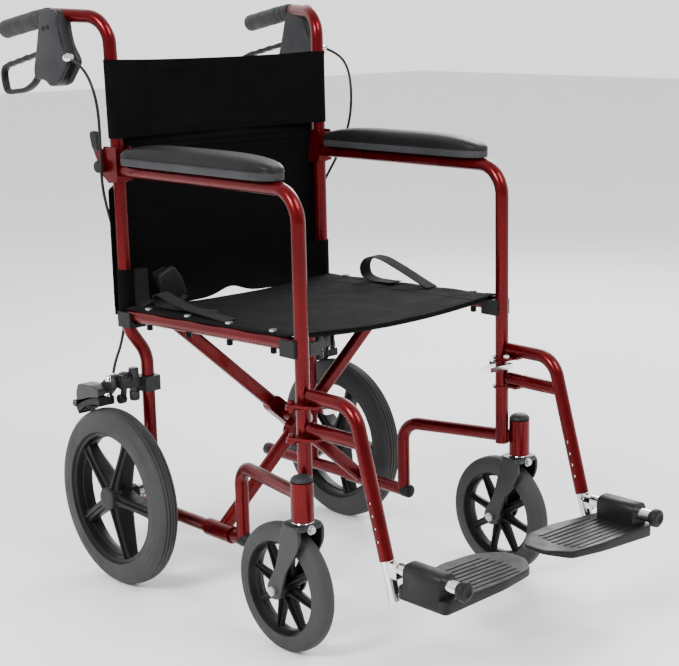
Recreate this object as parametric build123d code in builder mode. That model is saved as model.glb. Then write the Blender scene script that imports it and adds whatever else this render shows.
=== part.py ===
from build123d import *
from math import cos, pi, radians, sin, tan
import os

# Folding transport wheelchair. Millimetres, +Z up, the footplates point to -Y.
# The origin is on the floor, at the centre of the chair's footprint.
# Right and left are the sitter's: right is -X and left is +X.

# driving dimensions
tube_d = 22.0                  # all the frame tube
tube_wall = 1.8
post_x = 217.0                 # posts, seat rails and arm tubes
rail_x = 181.0                 # lower rails
front_y = -195.0               # front posts
wheelbase = 452.0              # front post to rear post
arm_z = 704.0                  # arm tubes
lower_z = 118.0                # lower rails
seat_front_z = 476.0           # seat rail at the front post
seat_rear_z = 462.0            # and at the rear post
screw_pitch = 107.0            # seat screws along the rail
rear_wheel_r = 152.5
rear_wheel_w = 44.0
rear_rim_r = 116.0
rear_wheel_x = 251.5
caster_r = 101.5
caster_rim_r = 76.0
caster_w = 32.0
caster_x = 240.0
caster_trail = 43.0
hinge_pin_x = 240.0            # leg rest swing axis, outboard of the front post
hanger_top_z = 402.0
hanger_reach = 113.0           # front post to the hanger's bend
hanger_lean = 16.4             # degrees, the hanger's lower run
flip_x = 214.0                 # footplate flip axis
flip_z = 181.0
grip_d = 32.0
cable_d = 5.0
running = 0.05                 # radial clearance round a turning pin
clear = 0.4                    # between parts that pass each other

rear_y = front_y + wheelbase
stem_y = front_y - 19
caster_y = stem_y + caster_trail
brace_front_y = front_y + 262  # plane of the front cross brace
brace_rear_y = brace_front_y + 52
back_pivot_y = rear_y + 21
back_pivot_z = 709.0
screw_ys = [front_y + 65 + screw_pitch * i for i in range(4)]
tube_r = tube_d / 2
bore_d = tube_d - 2 * tube_wall

os.makedirs("parts", exist_ok=True)


def seat_rail_z(y):
    return seat_front_z + (seat_rear_z - seat_front_z) * (y - front_y) / wheelbase


def tube(points, bend=0.0, outer=tube_d, inner=0.0, mode=Mode.ADD):
    """A round tube or rod along straight runs joined by tangent bends."""
    with BuildLine() as path:
        if len(points) > 2:
            FilletPolyline(*points, radius=bend)
        else:
            Line(*points)
    with BuildSketch(Plane(origin=path.line @ 0, z_dir=path.line % 0)) as section:
        Circle(outer / 2)
        if inner:
            Circle(inner / 2, mode=Mode.SUBTRACT)
    sweep(section.sketch, path=path.line, mode=mode)


def bore(start, end, diameter):
    """A straight round cut from start to end."""
    tube([start, end], outer=diameter, mode=Mode.SUBTRACT)


def block(low, high, mode=Mode.ADD):
    """A box between two opposite corners."""
    with Locations(tuple((a + b) / 2 for a, b in zip(low, high))):
        Box(*[abs(b - a) for a, b in zip(low, high)], mode=mode)


def side_plate(outline, x, thickness, corner=0.0, mode=Mode.ADD):
    """A plate centred on x, from an outline of (y, z) points with rounded corners."""
    with BuildSketch(Plane(origin=(x, 0, 0), x_dir=(0, 1, 0), z_dir=(1, 0, 0))) as face:
        with BuildLine():
            Polyline(*outline, close=True)
        make_face()
        if corner:
            fillet(vertices(), radius=corner)
    extrude(face.sketch, amount=thickness / 2, both=True, mode=mode)


def lug_plate(z, thickness, *discs):
    """A flat plate round two discs, each given as x, y and radius."""
    with BuildSketch(Plane.XY.offset(z)) as face:
        for x, y, radius in discs:
            with Locations((x, y)):
                Circle(radius)
        make_hull()
    extrude(face.sketch, amount=thickness)


def hexagon(x, y, z, radius, length):
    """A nut or bolt head that starts at x and runs along X."""
    with BuildSketch(Plane(origin=(x, y, z), z_dir=(1, 0, 0))) as face:
        RegularPolygon(radius, 6)
    extrude(face.sketch, amount=length)


def save(part, name):
    part.label = name
    export_step(part, f"parts/{name}.step")


# cross braces: each carries one seat rail and turns on the other side's lower rail
pivot_bolt_d = 10.0
brace_w = 16.0                 # oval tube, along Y
brace_h = 23.0
cheek_l = 86.0                 # stiffener round the centre pivot
cheek_half = 10.0
sleeve_l = 64.0
rail_set_back = 16.0           # from a post's axis to the end of the seat rail
brace_slope = (seat_rail_z(brace_front_y) - lower_z) / (post_x + rail_x)
pivot_z = lower_z + brace_slope * rail_x

for name, side, y in (
    ("cross_brace_front", 1, brace_front_y),
    ("cross_brace_rear", -1, brace_rear_y),
):
    low = Vector(-side * rail_x, y, lower_z)
    along = Vector(side, 0, brace_slope).normalized()
    top = Vector(side * post_x, y, lower_z + brace_slope * (rail_x + post_x))
    rail_ends = [
        (side * post_x, rail_y, seat_rail_z(rail_y))
        for rail_y in (front_y + rail_set_back, rear_y - rail_set_back)
    ]
    with BuildPart() as weldment:
        with BuildSketch(Plane(origin=low, x_dir=(0, 1, 0), z_dir=along)):
            RectangleRounded(brace_w, brace_h, 6)
        extrude(amount=(top - low).length)
        tube(rail_ends)
        sleeve = [(low.X, y - sleeve_l / 2, lower_z), (low.X, y + sleeve_l / 2, lower_z)]
        tube(sleeve, outer=tube_d + 7)
        with BuildSketch(Plane(origin=(0, y, pivot_z), x_dir=along, z_dir=(0, -1, 0))):
            SlotOverall(cheek_l, brace_h + 6)
        extrude(amount=cheek_half, both=True)
        if side > 0:
            # spacer that reaches back to the other brace
            tube([(0, y, pivot_z), (0, brace_rear_y - cheek_half - clear, pivot_z)], outer=24)
        bore(sleeve[0], sleeve[1], tube_d + 2 * running)
        bore(rail_ends[0], rail_ends[1], bore_d)
        for screw_y in screw_ys:
            z = seat_rail_z(screw_y)
            bore((side * post_x, screw_y, z - 15), (side * post_x, screw_y, z + 15), 5.2)
        bore((0, y - 60, pivot_z), (0, y + 60, pivot_z), pivot_bolt_d + 2 * running)
    save(weldment.part, name)

with BuildPart() as pivot_bolt:
    head_y = brace_front_y - cheek_half - 0.2
    nut_y = brace_rear_y + cheek_half + clear
    tube([(0, head_y, pivot_z), (0, nut_y + 10, pivot_z)], outer=pivot_bolt_d)
    tube([(0, head_y - 6, pivot_z), (0, head_y, pivot_z)], outer=18)
    with BuildSketch(Plane(origin=(0, nut_y, pivot_z), z_dir=(0, 1, 0))):
        RegularPolygon(9.5, 6)
    extrude(amount=8)
save(pivot_bolt.part, "pivot_bolt")

# seat: a sheet laid on both seat rails, with a row of screws down each side
seat_lift = tube_r + clear
seat_t = 3.0
with BuildPart() as seat:
    ends = (front_y + rail_set_back, rear_y - rail_set_back)
    under = [(y, seat_rail_z(y) + seat_lift) for y in ends]
    over = [(y, z + seat_t) for y, z in reversed(under)]
    side_plate(under + over, 0, 2 * (post_x + 8))
    for x in (-post_x, post_x):
        for screw_y in screw_ys:
            bore((x, screw_y, seat_rear_z), (x, screw_y, seat_front_z + 30), 5.6)
save(seat.part, "seat_sling")

for name, x in (("seat_screws_right", -post_x), ("seat_screws_left", post_x)):
    with BuildPart() as screws:
        for screw_y in screw_ys:
            rail = seat_rail_z(screw_y)
            head = rail + seat_lift + seat_t + clear
            tube([(x, screw_y, rail - 20), (x, screw_y, head + 1)], outer=5)
            tube([(x, screw_y, rail - 19), (x, screw_y, rail - 11.3)], outer=10)
            tube([(x, screw_y, head), (x, screw_y, head + 2.6)], outer=12)
    save(screws.part, name)

# seat belt: a webbing strap from each rail, lying folded over on the seat
belt_t = 2.0
belt_w = 25.0
belt_lift = seat_lift + seat_t + 2
straps = [
    (-196, 80, [(0, 0), (120, 0), (190, 4), (226, 26), (180, 34), (120, 30)]),
    (196, 92, [(0, 0), (60, 2), (120, 0), (186, 8), (206, 34), (150, 30)]),
]
with BuildPart() as belt:
    for x, heading, profile in straps:
        start_y = front_y + 172
        slant = (seat_rear_z - seat_front_z) / wheelbase
        ahead = Vector(cos(radians(heading)), sin(radians(heading)), slant).normalized()
        start = Vector(x, start_y, seat_rail_z(start_y) + belt_lift)
        route = [start + ahead * run + Vector(0, 0, rise) for run, rise in profile]
        with BuildLine() as line:
            FilletPolyline(*route, radius=9)
        across = ahead.cross(Vector(0, 0, 1))
        with BuildSketch(Plane(origin=start, x_dir=across, z_dir=line.line % 0)) as section:
            Rectangle(belt_w, belt_t)
        sweep(section.sketch, path=line.line)
save(belt.part, "seat_belt")

# back upholstery: an upper panel between the canes, a lower one between the rear posts
back_split_z = 746.0
back_top_z = 880.0
back_low_z = 500.0
back_t = 3.0
with BuildPart() as back_upper:
    half = post_x - tube_r - 1
    block((-half, rear_y - 7, back_split_z), (half, rear_y - 7 + back_t, back_top_z))
save(back_upper.part, "back_upper")
with BuildPart() as back_lower:
    half = post_x - tube_r - 5
    block((-half, rear_y - 7, back_low_z), (half, rear_y - 7 + back_t, back_split_z - 1))
save(back_lower.part, "back_lower")


# side frame
lug_zs = (334.0, 384.0)        # undersides of the leg rest lugs on the front post
lug_t = 4.0
axle_d = 12.0
caster_stem_d = 16.0
release_d = 8.0
hinge_half = 12.0              # inner half width of the back hinge bracket
hinge_t = 3.0
housing_z = (217.0, 277.0)
pad_t = 33.0


def side_frame(name, side):
    x = side * post_x
    low_x = side * rail_x
    pin_x = side * hinge_pin_x

    # front post and arm tube in one bend, with the two leg rest lugs
    route = [(x, front_y, 238), (x, front_y, arm_z), (x, rear_y - 16.5, arm_z)]
    with BuildPart() as arm_tube:
        tube(route, bend=48)
        for z in lug_zs:
            lug_plate(z, lug_t, (x, front_y, 15), (pin_x, front_y, 9))
            bore((pin_x, front_y, z - 9), (pin_x, front_y, z + 9), 6 + 2 * running)
        tube(route, bend=48, outer=bore_d, mode=Mode.SUBTRACT)
    save(arm_tube.part, f"arm_tube_{name}")

    # rear post: steps inboard under the seat to clear the wheel; hinge bracket on top
    post = [(x, rear_y, 700), (x, rear_y, 441), (low_x, rear_y, 390), (low_x, rear_y, lower_z)]
    cheek = [
        (rear_y - 16, 686), (rear_y + 8, 682), (rear_y + 30, 696),
        (rear_y + 33, 722), (rear_y + 18, 742), (rear_y - 16, 742),
    ]
    with BuildPart() as rear_post:
        tube(post, bend=58)
        tube([(x, rear_y, 684), (x, rear_y, 699.5)], outer=2 * (hinge_half + hinge_t))
        for cheek_x in (x - hinge_half - hinge_t / 2, x + hinge_half + hinge_t / 2):
            side_plate(cheek, cheek_x, hinge_t, corner=3)
        block((x - 13, rear_y - 16, 686), (x + 13, rear_y - 12.4, 738))
        tube(post, bend=58, outer=bore_d, mode=Mode.SUBTRACT)
        hinge = (back_pivot_y, back_pivot_z)
        bore((x - 30, *hinge), (x + 30, *hinge), release_d + 2 * running)
        bore((low_x, rear_y - 20, lower_z), (low_x, rear_y + 20, lower_z), tube_d)
        bore((low_x - 20, rear_y, rear_wheel_r), (low_x + 20, rear_y, rear_wheel_r), axle_d)
    save(rear_post.part, f"rear_post_{name}")

    # lower rail, its riser to the front post, and the caster housing, in one weldment
    housing_x = side * caster_x
    riser_y = front_y + 203
    with BuildPart() as lower_frame:
        tube([(low_x, front_y + 190, lower_z), (low_x, front_y + 586, lower_z)])
        riser = [(side * 229, front_y - 12, 249), (low_x, riser_y, 243), (low_x, riser_y, lower_z)]
        tube(riser, bend=34)
        tube([(housing_x, stem_y, housing_z[0]), (housing_x, stem_y, housing_z[1])], outer=35)
        tube([(housing_x, stem_y, housing_z[1]), (housing_x, stem_y, 283)], outer=29)
        bore((x, front_y, 200), (x, front_y, 300), tube_d)
        stem_bore = caster_stem_d + 2 * running
        bore((housing_x, stem_y, 210), (housing_x, stem_y, 262), stem_bore)
    save(lower_frame.part, f"lower_frame_{name}")

    # plastic saddles on the posts: the ends of the seat rail drop into them
    with BuildPart() as saddles:
        for post_y, inward in ((front_y, 1), (rear_y, -1)):
            z = seat_rail_z(post_y)
            near = post_y - 2 * inward
            far = post_y + 32 * inward
            mouth = post_y + 14 * inward
            block((x - 16.5, near, z - 18), (x + 16.5, far, z + 8))
            bore((x, mouth, z), (x, far + inward, z), tube_d + 3)
            block((x - 12.5, mouth, z), (x + 12.5, far + inward, z + 12), Mode.SUBTRACT)
        bore((x, front_y, 430), (x, front_y, 500), tube_d)
        tube(post, bend=58, mode=Mode.SUBTRACT)
    save(saddles.part, f"seat_saddles_{name}")

    # padded arm rest on the arm tube
    with BuildPart() as arm_pad:
        with BuildSketch(Plane.XY.offset(arm_z + tube_r)):
            with Locations((x, front_y + 232)):
                RectangleRounded(52, 388, 16)
        extrude(amount=pad_t)
        fillet(faces().sort_by(Axis.Z)[-1].edges(), radius=12)
    save(arm_pad.part, f"arm_pad_{name}")


def rear_wheel(name, side):
    x = side * rear_wheel_x
    centre = (rear_y, rear_wheel_r)
    hub_in = x - side * 33
    wheel = Plane(origin=(x, *centre), x_dir=(0, 1, 0), z_dir=(1, 0, 0))

    # five-spoke plastic rim with a recess for the hub cap
    with BuildPart() as rim:
        with BuildSketch(wheel):
            Circle(rear_rim_r)
            Circle(rear_rim_r - 9, mode=Mode.SUBTRACT)
        extrude(amount=17, both=True)
        with BuildSketch(wheel):
            with PolarLocations(64, 5, start_angle=18):
                Trapezoid(34, 92, 86, rotation=-90)
        extrude(amount=8, both=True)
        with BuildSketch(wheel):
            Circle(29)
        extrude(amount=22, both=True)
        tube([(x, *centre), (hub_in, *centre)], outer=30)
        bore((x - 60, *centre), (x + 60, *centre), axle_d + 2 * running)
        bore((x + side * 15, *centre), (x + side * 23, *centre), 34)
    save(rim.part, f"rear_rim_{name}")

    # solid tyre with rounded shoulders and four tread grooves
    with BuildPart() as tyre:
        with BuildSketch(wheel):
            Circle(rear_wheel_r)
            Circle(rear_rim_r, mode=Mode.SUBTRACT)
        extrude(amount=rear_wheel_w / 2, both=True)
        rings = edges().filter_by(GeomType.CIRCLE).group_by(SortBy.RADIUS)
        fillet(rings[-1], radius=13)
        for offset in (-8.4, -2.8, 2.8, 8.4):
            with BuildSketch(wheel.offset(offset)):
                Circle(rear_wheel_r + 1)
                Circle(rear_wheel_r - 1.6, mode=Mode.SUBTRACT)
            extrude(amount=0.8, both=True, mode=Mode.SUBTRACT)
    save(tyre.part, f"rear_tyre_{name}")

    # axle bolt through the rear post, with two nuts, a spacer and the hub cap
    with BuildPart() as axle:
        inner = side * (rail_x - 20)
        tube([(inner, *centre), (x + side * 20, *centre)], outer=axle_d)
        for nut in (side * (rail_x - 16), side * (rail_x + 16)):
            hexagon(nut - 4.4, *centre, 10.5, 8.8)
        tube([(hub_in - side * 12, *centre), (hub_in - side * clear, *centre)], outer=22)
        tube([(x + side * 16, *centre), (x + side * 23, *centre)], outer=33.4)
    save(axle.part, f"rear_axle_{name}")


def caster(name, side):
    x = side * caster_x
    centre = (caster_y, caster_r)
    wheel = Plane(origin=(x, *centre), x_dir=(0, 1, 0), z_dir=(1, 0, 0))

    # fork: stem, crown and two blades that sweep back to the axle
    blade = [
        (stem_y - 17, 214), (stem_y + 26, 214), (stem_y + 40, 190), (caster_y + 15, caster_r + 6),
        (caster_y + 9, caster_r - 13), (caster_y - 9, caster_r - 13), (caster_y - 15, caster_r + 6),
        (stem_y - 14, 186),
    ]
    with BuildPart() as fork:
        for blade_x in (x - 23, x + 23):
            side_plate(blade, blade_x, 6, corner=4)
        block((x - 23, stem_y - 17, 204), (x + 23, stem_y + 26, 214))
        bore((x - 19.8, *centre), (x + 19.8, *centre), 2 * caster_r + 3)
        tube([(x, stem_y, 207), (x, stem_y, 258)], outer=caster_stem_d)
        tube([(x, stem_y, 207), (x, stem_y, 216.6)], outer=33)
        bore((x - 40, *centre), (x + 40, *centre), 8 + 2 * running)
    save(fork.part, f"caster_fork_{name}")

    # eight-spoke rim
    with BuildPart() as rim:
        with BuildSketch(wheel):
            Circle(caster_rim_r)
            Circle(caster_rim_r - 7, mode=Mode.SUBTRACT)
        extrude(amount=12, both=True)
        with BuildSketch(wheel):
            with PolarLocations(43, 8, start_angle=12):
                Rectangle(60, 9)
        extrude(amount=6, both=True)
        with BuildSketch(wheel):
            Circle(17)
        extrude(amount=18, both=True)
        bore((x - 30, *centre), (x + 30, *centre), 8 + 2 * running)
    save(rim.part, f"caster_rim_{name}")

    with BuildPart() as tyre:
        with BuildSketch(wheel):
            Circle(caster_r)
            Circle(caster_rim_r, mode=Mode.SUBTRACT)
        extrude(amount=caster_w / 2, both=True)
        rings = edges().filter_by(GeomType.CIRCLE).group_by(SortBy.RADIUS)
        fillet(rings[-1], radius=11)
    save(tyre.part, f"caster_tyre_{name}")

    with BuildPart() as axle:
        tube([(x - 32, *centre), (x + 32, *centre)], outer=8)
        for head in (x - 31, x + 26.2):
            hexagon(head, *centre, 8, 4.8)
    save(axle.part, f"caster_axle_{name}")


# push handles
handle_y = rear_y + 108        # the handle's second bend, inside the brake housing
handle_z = 953.0
handle_x = post_x + 39         # the grips stand outboard of the posts
grip_tip = (post_x + 47, rear_y + 248, 929.0)
body_top = handle_z + 16       # top of the brake housing
body_w = 32.0
lever_w = 14.0
lever_pin = (handle_y + 34, body_top - 96)


def push_handle(name, side):
    x = side * post_x
    hinge = (back_pivot_y, back_pivot_z)
    route = [
        Vector(x, rear_y, 704.5),
        Vector(x + side * 4, rear_y + 3, 948),
        Vector(side * handle_x, handle_y, handle_z),
        Vector(side * grip_tip[0], grip_tip[1], grip_tip[2]),
    ]

    # cane: up from the hinge, then back and outward to the grip
    lug = [
        (rear_y - 2, 705), (back_pivot_y + 4, back_pivot_z - 9), (back_pivot_y + 10, back_pivot_z),
        (back_pivot_y + 4, back_pivot_z + 9), (rear_y - 2, 734),
    ]
    with BuildPart() as cane:
        tube(route, bend=44)
        side_plate(lug, x, 21)
        tube(route, bend=44, outer=bore_d, mode=Mode.SUBTRACT)
        bore((x - 20, *hinge), (x + 20, *hinge), release_d + 2 * running)
    save(cane.part, f"push_cane_{name}")

    # release lever on the hinge's cross pin
    lever = [
        (back_pivot_y - 9, back_pivot_z - 9), (back_pivot_y + 9, back_pivot_z - 9),
        (back_pivot_y + 11, back_pivot_z + 10), (back_pivot_y + 24, back_pivot_z + 32),
        (back_pivot_y + 26, back_pivot_z + 50), (back_pivot_y + 9, back_pivot_z + 52),
        (back_pivot_y - 2, back_pivot_z + 22),
    ]
    with BuildPart() as release:
        side_plate(lever, x + side * 18, 4.6, corner=3)
        tube([(x - side * 17, *hinge), (x + side * 28, *hinge)], outer=release_d)
        tube([(x - side * 20, *hinge), (x - side * 15.4, *hinge)], outer=15)
        tube([(x + side * 20, *hinge), (x + side * 28, *hinge)], outer=17)
    save(release.part, f"back_release_{name}")

    # soft hand grip with a closed end
    axis = (route[3] - route[2]).normalized()
    grip_start = route[2] + axis * 30
    with BuildPart() as grip:
        tube([grip_start, route[3] + axis * 5], outer=grip_d)
        fillet(edges().filter_by(GeomType.CIRCLE).sort_by(Axis.Y)[-1], radius=6)
        bore(grip_start - axis, route[3], tube_d)
    save(grip.part, f"hand_grip_{name}")

    # brake housing round the handle
    body_x = side * (handle_x + 5)
    body = [
        (handle_y - 44, body_top - 6), (handle_y - 36, body_top), (handle_y + 16, body_top - 3),
        (handle_y + 22, body_top - 30), (handle_y + 38, body_top - 74),
        (handle_y + 43, body_top - 122), (handle_y + 8, body_top - 128),
        (handle_y - 8, body_top - 138), (handle_y - 34, body_top - 128),
        (handle_y - 62, body_top - 88), (handle_y - 52, body_top - 62),
    ]
    with BuildPart() as housing:
        side_plate(body, body_x, body_w, corner=3)
        slot = lever_w / 2 + 1
        low = (body_x - slot, handle_y + 2, body_top - 150)
        high = (body_x + slot, handle_y + 60, body_top - 66)
        block(low, high, Mode.SUBTRACT)
        bore((body_x - 20, *lever_pin), (body_x + 20, *lever_pin), 5 + 2 * running)
        tube(route, bend=44, mode=Mode.SUBTRACT)
    save(housing.part, f"brake_housing_{name}")

    # brake lever: a closed loop for the fingers, with its pin
    loop = [
        (handle_y + 26, body_top - 70), (handle_y + 70, body_top - 82),
        (handle_y + 152, body_top - 100), (handle_y + 163, body_top - 114),
        (handle_y + 156, body_top - 142), (handle_y + 144, body_top - 149),
        (handle_y + 84, body_top - 143), (handle_y + 52, body_top - 124),
        (handle_y + 26, body_top - 118),
    ]
    opening = [
        (handle_y + 50, body_top - 87), (handle_y + 76, body_top - 93),
        (handle_y + 147, body_top - 109), (handle_y + 152, body_top - 116),
        (handle_y + 146, body_top - 137), (handle_y + 88, body_top - 132),
        (handle_y + 60, body_top - 115),
    ]
    with BuildPart() as lever:
        side_plate(loop, body_x, lever_w, corner=5)
        side_plate(opening, body_x, lever_w + 4, corner=3, mode=Mode.SUBTRACT)
        tube([(body_x - 15, *lever_pin), (body_x + 15, *lever_pin)], outer=5)
    save(lever.part, f"brake_lever_{name}")


# rear brakes
brake_pin = (rear_y + 14, 348.0)
brake_pin_d = 6.0
shoe_gap = 4.0
shoe_t = 15.0
arm_x = 242.0


def over_tyre(angle, rise):
    """A (y, z) point at an angle behind the top of the rear wheel, above its tread."""
    radius = rear_wheel_r + rise
    return rear_y + radius * sin(radians(angle)), rear_wheel_r + radius * cos(radians(angle))


def rear_brake(name, side):
    low_x = side * rail_x
    tyre = (rear_y, rear_wheel_r)

    # clamp round the rear post, with an arm out to the brake's pin
    with BuildPart() as mount:
        block((low_x - 15, rear_y - 15, 326), (low_x + 15, rear_y + 15, 352))
        bore((low_x, rear_y, 300), (low_x, rear_y, 380), tube_d)
        block((low_x + side * 14.5, rear_y - 4, 336), (side * 236, rear_y + 4, 352))
        ear = [
            (rear_y - 8, 334), (rear_y + 18, 338), (rear_y + 24, 348),
            (rear_y + 20, 360), (rear_y - 8, 360),
        ]
        side_plate(ear, side * 234.5, 3, corner=3)
        bore((side * 228, *brake_pin), (side * 240, *brake_pin), brake_pin_d + 2 * running)
    save(mount.part, f"brake_mount_{name}")

    # brake arm with its pin, and the toothed shoe that follows the tyre
    back = [over_tyre(angle, shoe_gap + shoe_t) for angle in (30, 24, 18, 12, 7)]
    arm = back + [
        (brake_pin[0] - 9, brake_pin[1] - 8), (brake_pin[0] - 9, brake_pin[1] + 12),
        (brake_pin[0] + 8, brake_pin[1] + 12), (brake_pin[0] + 34, brake_pin[1] - 10),
        (brake_pin[0] + 78, brake_pin[1] - 24), over_tyre(31, shoe_gap + shoe_t + 20),
    ]
    with BuildPart() as brake_arm:
        side_plate(arm, side * arm_x, 9)
        shoe_x = side * 252.5
        shoe = [over_tyre(angle, shoe_gap + shoe_t + 1) for angle in (33, 20, 7)]
        shoe += [over_tyre(angle, shoe_gap) for angle in (7, 12, 17, 22, 27, 33)]
        side_plate(shoe, shoe_x, 31)
        bore((shoe_x - 30, *tyre), (shoe_x + 30, *tyre), 2 * (rear_wheel_r + shoe_gap))
        for tooth in range(8):
            angle = 9 + 3 * tooth
            notch = [over_tyre(angle - 0.6, 0), over_tyre(angle + 0.6, 0), over_tyre(angle, 9)]
            side_plate(notch, shoe_x, 40, mode=Mode.SUBTRACT)
        tube([(side * 232, *brake_pin), (side * 252, *brake_pin)], outer=brake_pin_d)
        tube([(side * 246, *brake_pin), (side * 252, *brake_pin)], outer=12)
    save(brake_arm.part, f"brake_arm_{name}")

    # brake cable: over from the housing, outside the arm rest, then down behind the post
    route = [
        Vector(side * 272, rear_y + 37, 883), Vector(side * 275, rear_y + 4, 874),
        Vector(side * 274, rear_y - 21, 848), Vector(side * 271, rear_y - 31, 810),
        Vector(side * 269, rear_y - 30, 768), Vector(side * 264, rear_y - 21, 728),
        Vector(side * 255, rear_y - 6, 690), Vector(side * 241, rear_y + 9, 654),
        Vector(side * 225, rear_y + 19, 616), Vector(side * 211, rear_y + 24, 576),
        Vector(side * 204, rear_y + 25, 533), Vector(side * 203, rear_y + 23, 490),
        Vector(side * 208, rear_y + 20, 448), Vector(side * 219, rear_y + 17, 410),
        Vector(side * 236, rear_y + 15, 379), Vector(side * 240.5, rear_y + 14, 362.5),
    ]
    radii = []
    for before, corner, after in zip(route, route[1:], route[2:]):
        arriving = corner - before
        leaving = after - corner
        half_turn = radians(arriving.get_angle(leaving)) / 2
        radii.append(0.45 * min(arriving.length, leaving.length) / tan(half_turn))
    with BuildPart() as cable:
        with BuildLine() as line:
            FilletPolyline(*route, radius=radii)
        with BuildSketch(Plane(origin=line.line @ 0, z_dir=line.line % 0)):
            Circle(cable_d / 2)
        sweep(path=line.line)
    length = line.wire().length
    straight_volume = pi * (cable_d / 2) ** 2 * length
    print(f"brake_cable_{name}: radii", [round(radius) for radius in radii])
    print(f"length {length:.1f}, volume ratio {cable.part.volume / straight_volume:.4f}")
    save(cable.part, f"brake_cable_{name}")


# leg rests
slide_d = 18.6                 # extension tube
pin_d = 6.0                    # drop pins of the hanger
plate_top = 163.0
plate_t = 20.0
latch_z = 375.2
sleeve_ends = (front_y - 222, front_y - 294)


def hanger_axis(z):
    """Y of the hanger's lower run at a height."""
    return front_y - hanger_reach - (hanger_top_z - z) * tan(radians(hanger_lean))


def leg_rest(name, side):
    x = side * post_x
    pin_x = side * hinge_pin_x
    latch_x = side * 196
    flip = side * flip_x

    # hanger: bent tube, strut, and two lug plates with drop pins
    with BuildPart() as hanger:
        corner = (x, front_y - hanger_reach, hanger_top_z)
        route = [(x, front_y - 17, hanger_top_z), corner, (x, hanger_axis(188), 188)]
        tube(route, bend=42)
        tube([(x, front_y - 17, 352), (x, hanger_axis(352), 352)])
        for z in lug_zs:
            base = z + lug_t + clear
            lug_plate(base, lug_t, (pin_x, front_y, 8), (side * 227, front_y - 30, 9))
            block((side * 206, front_y - 42, base), (side * 230, front_y - 20, base + lug_t))
            tube([(pin_x, front_y, base - 10), (pin_x, front_y, base + 8)], outer=pin_d)
            tube([(pin_x, front_y, base + 3), (pin_x, front_y, base + 9)], outer=10)
        shelf = lug_zs[1] + lug_t + clear
        block((side * 188, front_y - 38, shelf), (side * 212, front_y - 22, shelf + lug_t))
        bore((latch_x, front_y - 30, shelf - 2), (latch_x, front_y - 30, shelf + 6), 5.1)
        bore((x, hanger_axis(300), 300), (x, hanger_axis(180), 180), slide_d + 0.6)
        for z in (270, 252, 234, 216):
            bore((x - 20, hanger_axis(z), z), (x + 20, hanger_axis(z), z), 5.5)
    save(hanger.part, f"hanger_{name}")

    # swing-away latch: a flat lever under the hanger, hooked round the post
    hook = [
        (204, 38), (204, -8), (197, -12), (190, -4), (188, 18),
        (152, 14), (146, 20), (152, 34), (190, 38),
    ]
    with BuildPart() as latch:
        with BuildSketch(Plane.XY.offset(latch_z)):
            with BuildLine():
                Polyline(*[(side * across, front_y - ahead) for across, ahead in hook], close=True)
            make_face()
            fillet(vertices(), radius=2)
        extrude(amount=8)
        tube([(latch_x, front_y - 30, latch_z), (latch_x, front_y - 30, 398)], outer=5)
        tube([(latch_x, front_y - 30, 392.8), (latch_x, front_y - 30, 397)], outer=10)
    save(latch.part, f"hanger_latch_{name}")

    # extension tube inside the hanger, with a socket for the footplate's axle
    socket_y = hanger_axis(flip_z)
    with BuildPart() as extension:
        tube([(x, hanger_axis(296), 296), (x, hanger_axis(131), 131)], outer=slide_d)
        block((x - 7, socket_y - 24, flip_z - 14), (x + 7, socket_y - 6, flip_z + 8))
        bore((x, hanger_axis(310), 310), (x, hanger_axis(120), 120), slide_d - 3.6)
        bore((flip, socket_y - 40, flip_z), (flip, socket_y, flip_z), 12 + 2 * running)
    save(extension.part, f"leg_extension_{name}")

    # footplate axle: a tube with a mushroom cap
    tube_start = socket_y - 24 - clear
    cap_y = front_y - 320
    with BuildPart() as flip_axle:
        tube([(flip, socket_y - 6, flip_z), (flip, tube_start, flip_z)], outer=12)
        tube([(flip, tube_start, flip_z), (flip, cap_y, flip_z)], outer=20)
        tube([(flip, cap_y, flip_z), (flip, cap_y - 13, flip_z)], outer=29)
        fillet(edges().filter_by(GeomType.CIRCLE).sort_by(Axis.Y)[0], radius=5)
    save(flip_axle.part, f"footplate_axle_{name}")

    # footplate: a sleeve round the axle and a ribbed tread that thins out inboard
    rear, front = sleeve_ends
    tread = [
        (230, rear + 12), (120, rear + 30), (60, rear + 26), (20, rear - 2),
        (20, front + 28), (48, front - 6), (110, front - 14), (230, front - 14),
    ]
    wedge = [(10, 130), (160, 130), (150, 143.2), (46, 149), (10, 157)]
    with BuildPart() as footplate:
        tube([(flip, rear, flip_z), (flip, front, flip_z)], outer=34)
        block((flip - 17, rear, plate_top - plate_t), (flip + 17, front, flip_z))
        with BuildSketch(Plane.XY.offset(plate_top - plate_t)):
            with BuildLine():
                Polyline(*[(side * across, y) for across, y in tread], close=True)
            make_face()
            fillet(vertices(), radius=6)
        extrude(amount=plate_t)
        with BuildSketch(Plane(origin=(0, front - 40, 0), x_dir=(1, 0, 0), z_dir=(0, -1, 0))):
            with BuildLine():
                Polyline(*[(side * across, z) for across, z in wedge], close=True)
            make_face()
        extrude(amount=-180, mode=Mode.SUBTRACT)
        for groove in range(9):
            y = rear + 8 - groove * 10.5
            block((side * 52, y - 1.5, plate_top - 2), (side * 190, y + 1.5, 170), Mode.SUBTRACT)
        bore((flip, rear + 40, flip_z), (flip, front - 30, flip_z), 20 + 2 * running)
    save(footplate.part, f"footplate_{name}")


for side_name, side_sign in (("right", -1), ("left", 1)):
    side_frame(side_name, side_sign)
    rear_wheel(side_name, side_sign)
    caster(side_name, side_sign)
    push_handle(side_name, side_sign)
    rear_brake(side_name, side_sign)
    leg_rest(side_name, side_sign)
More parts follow.
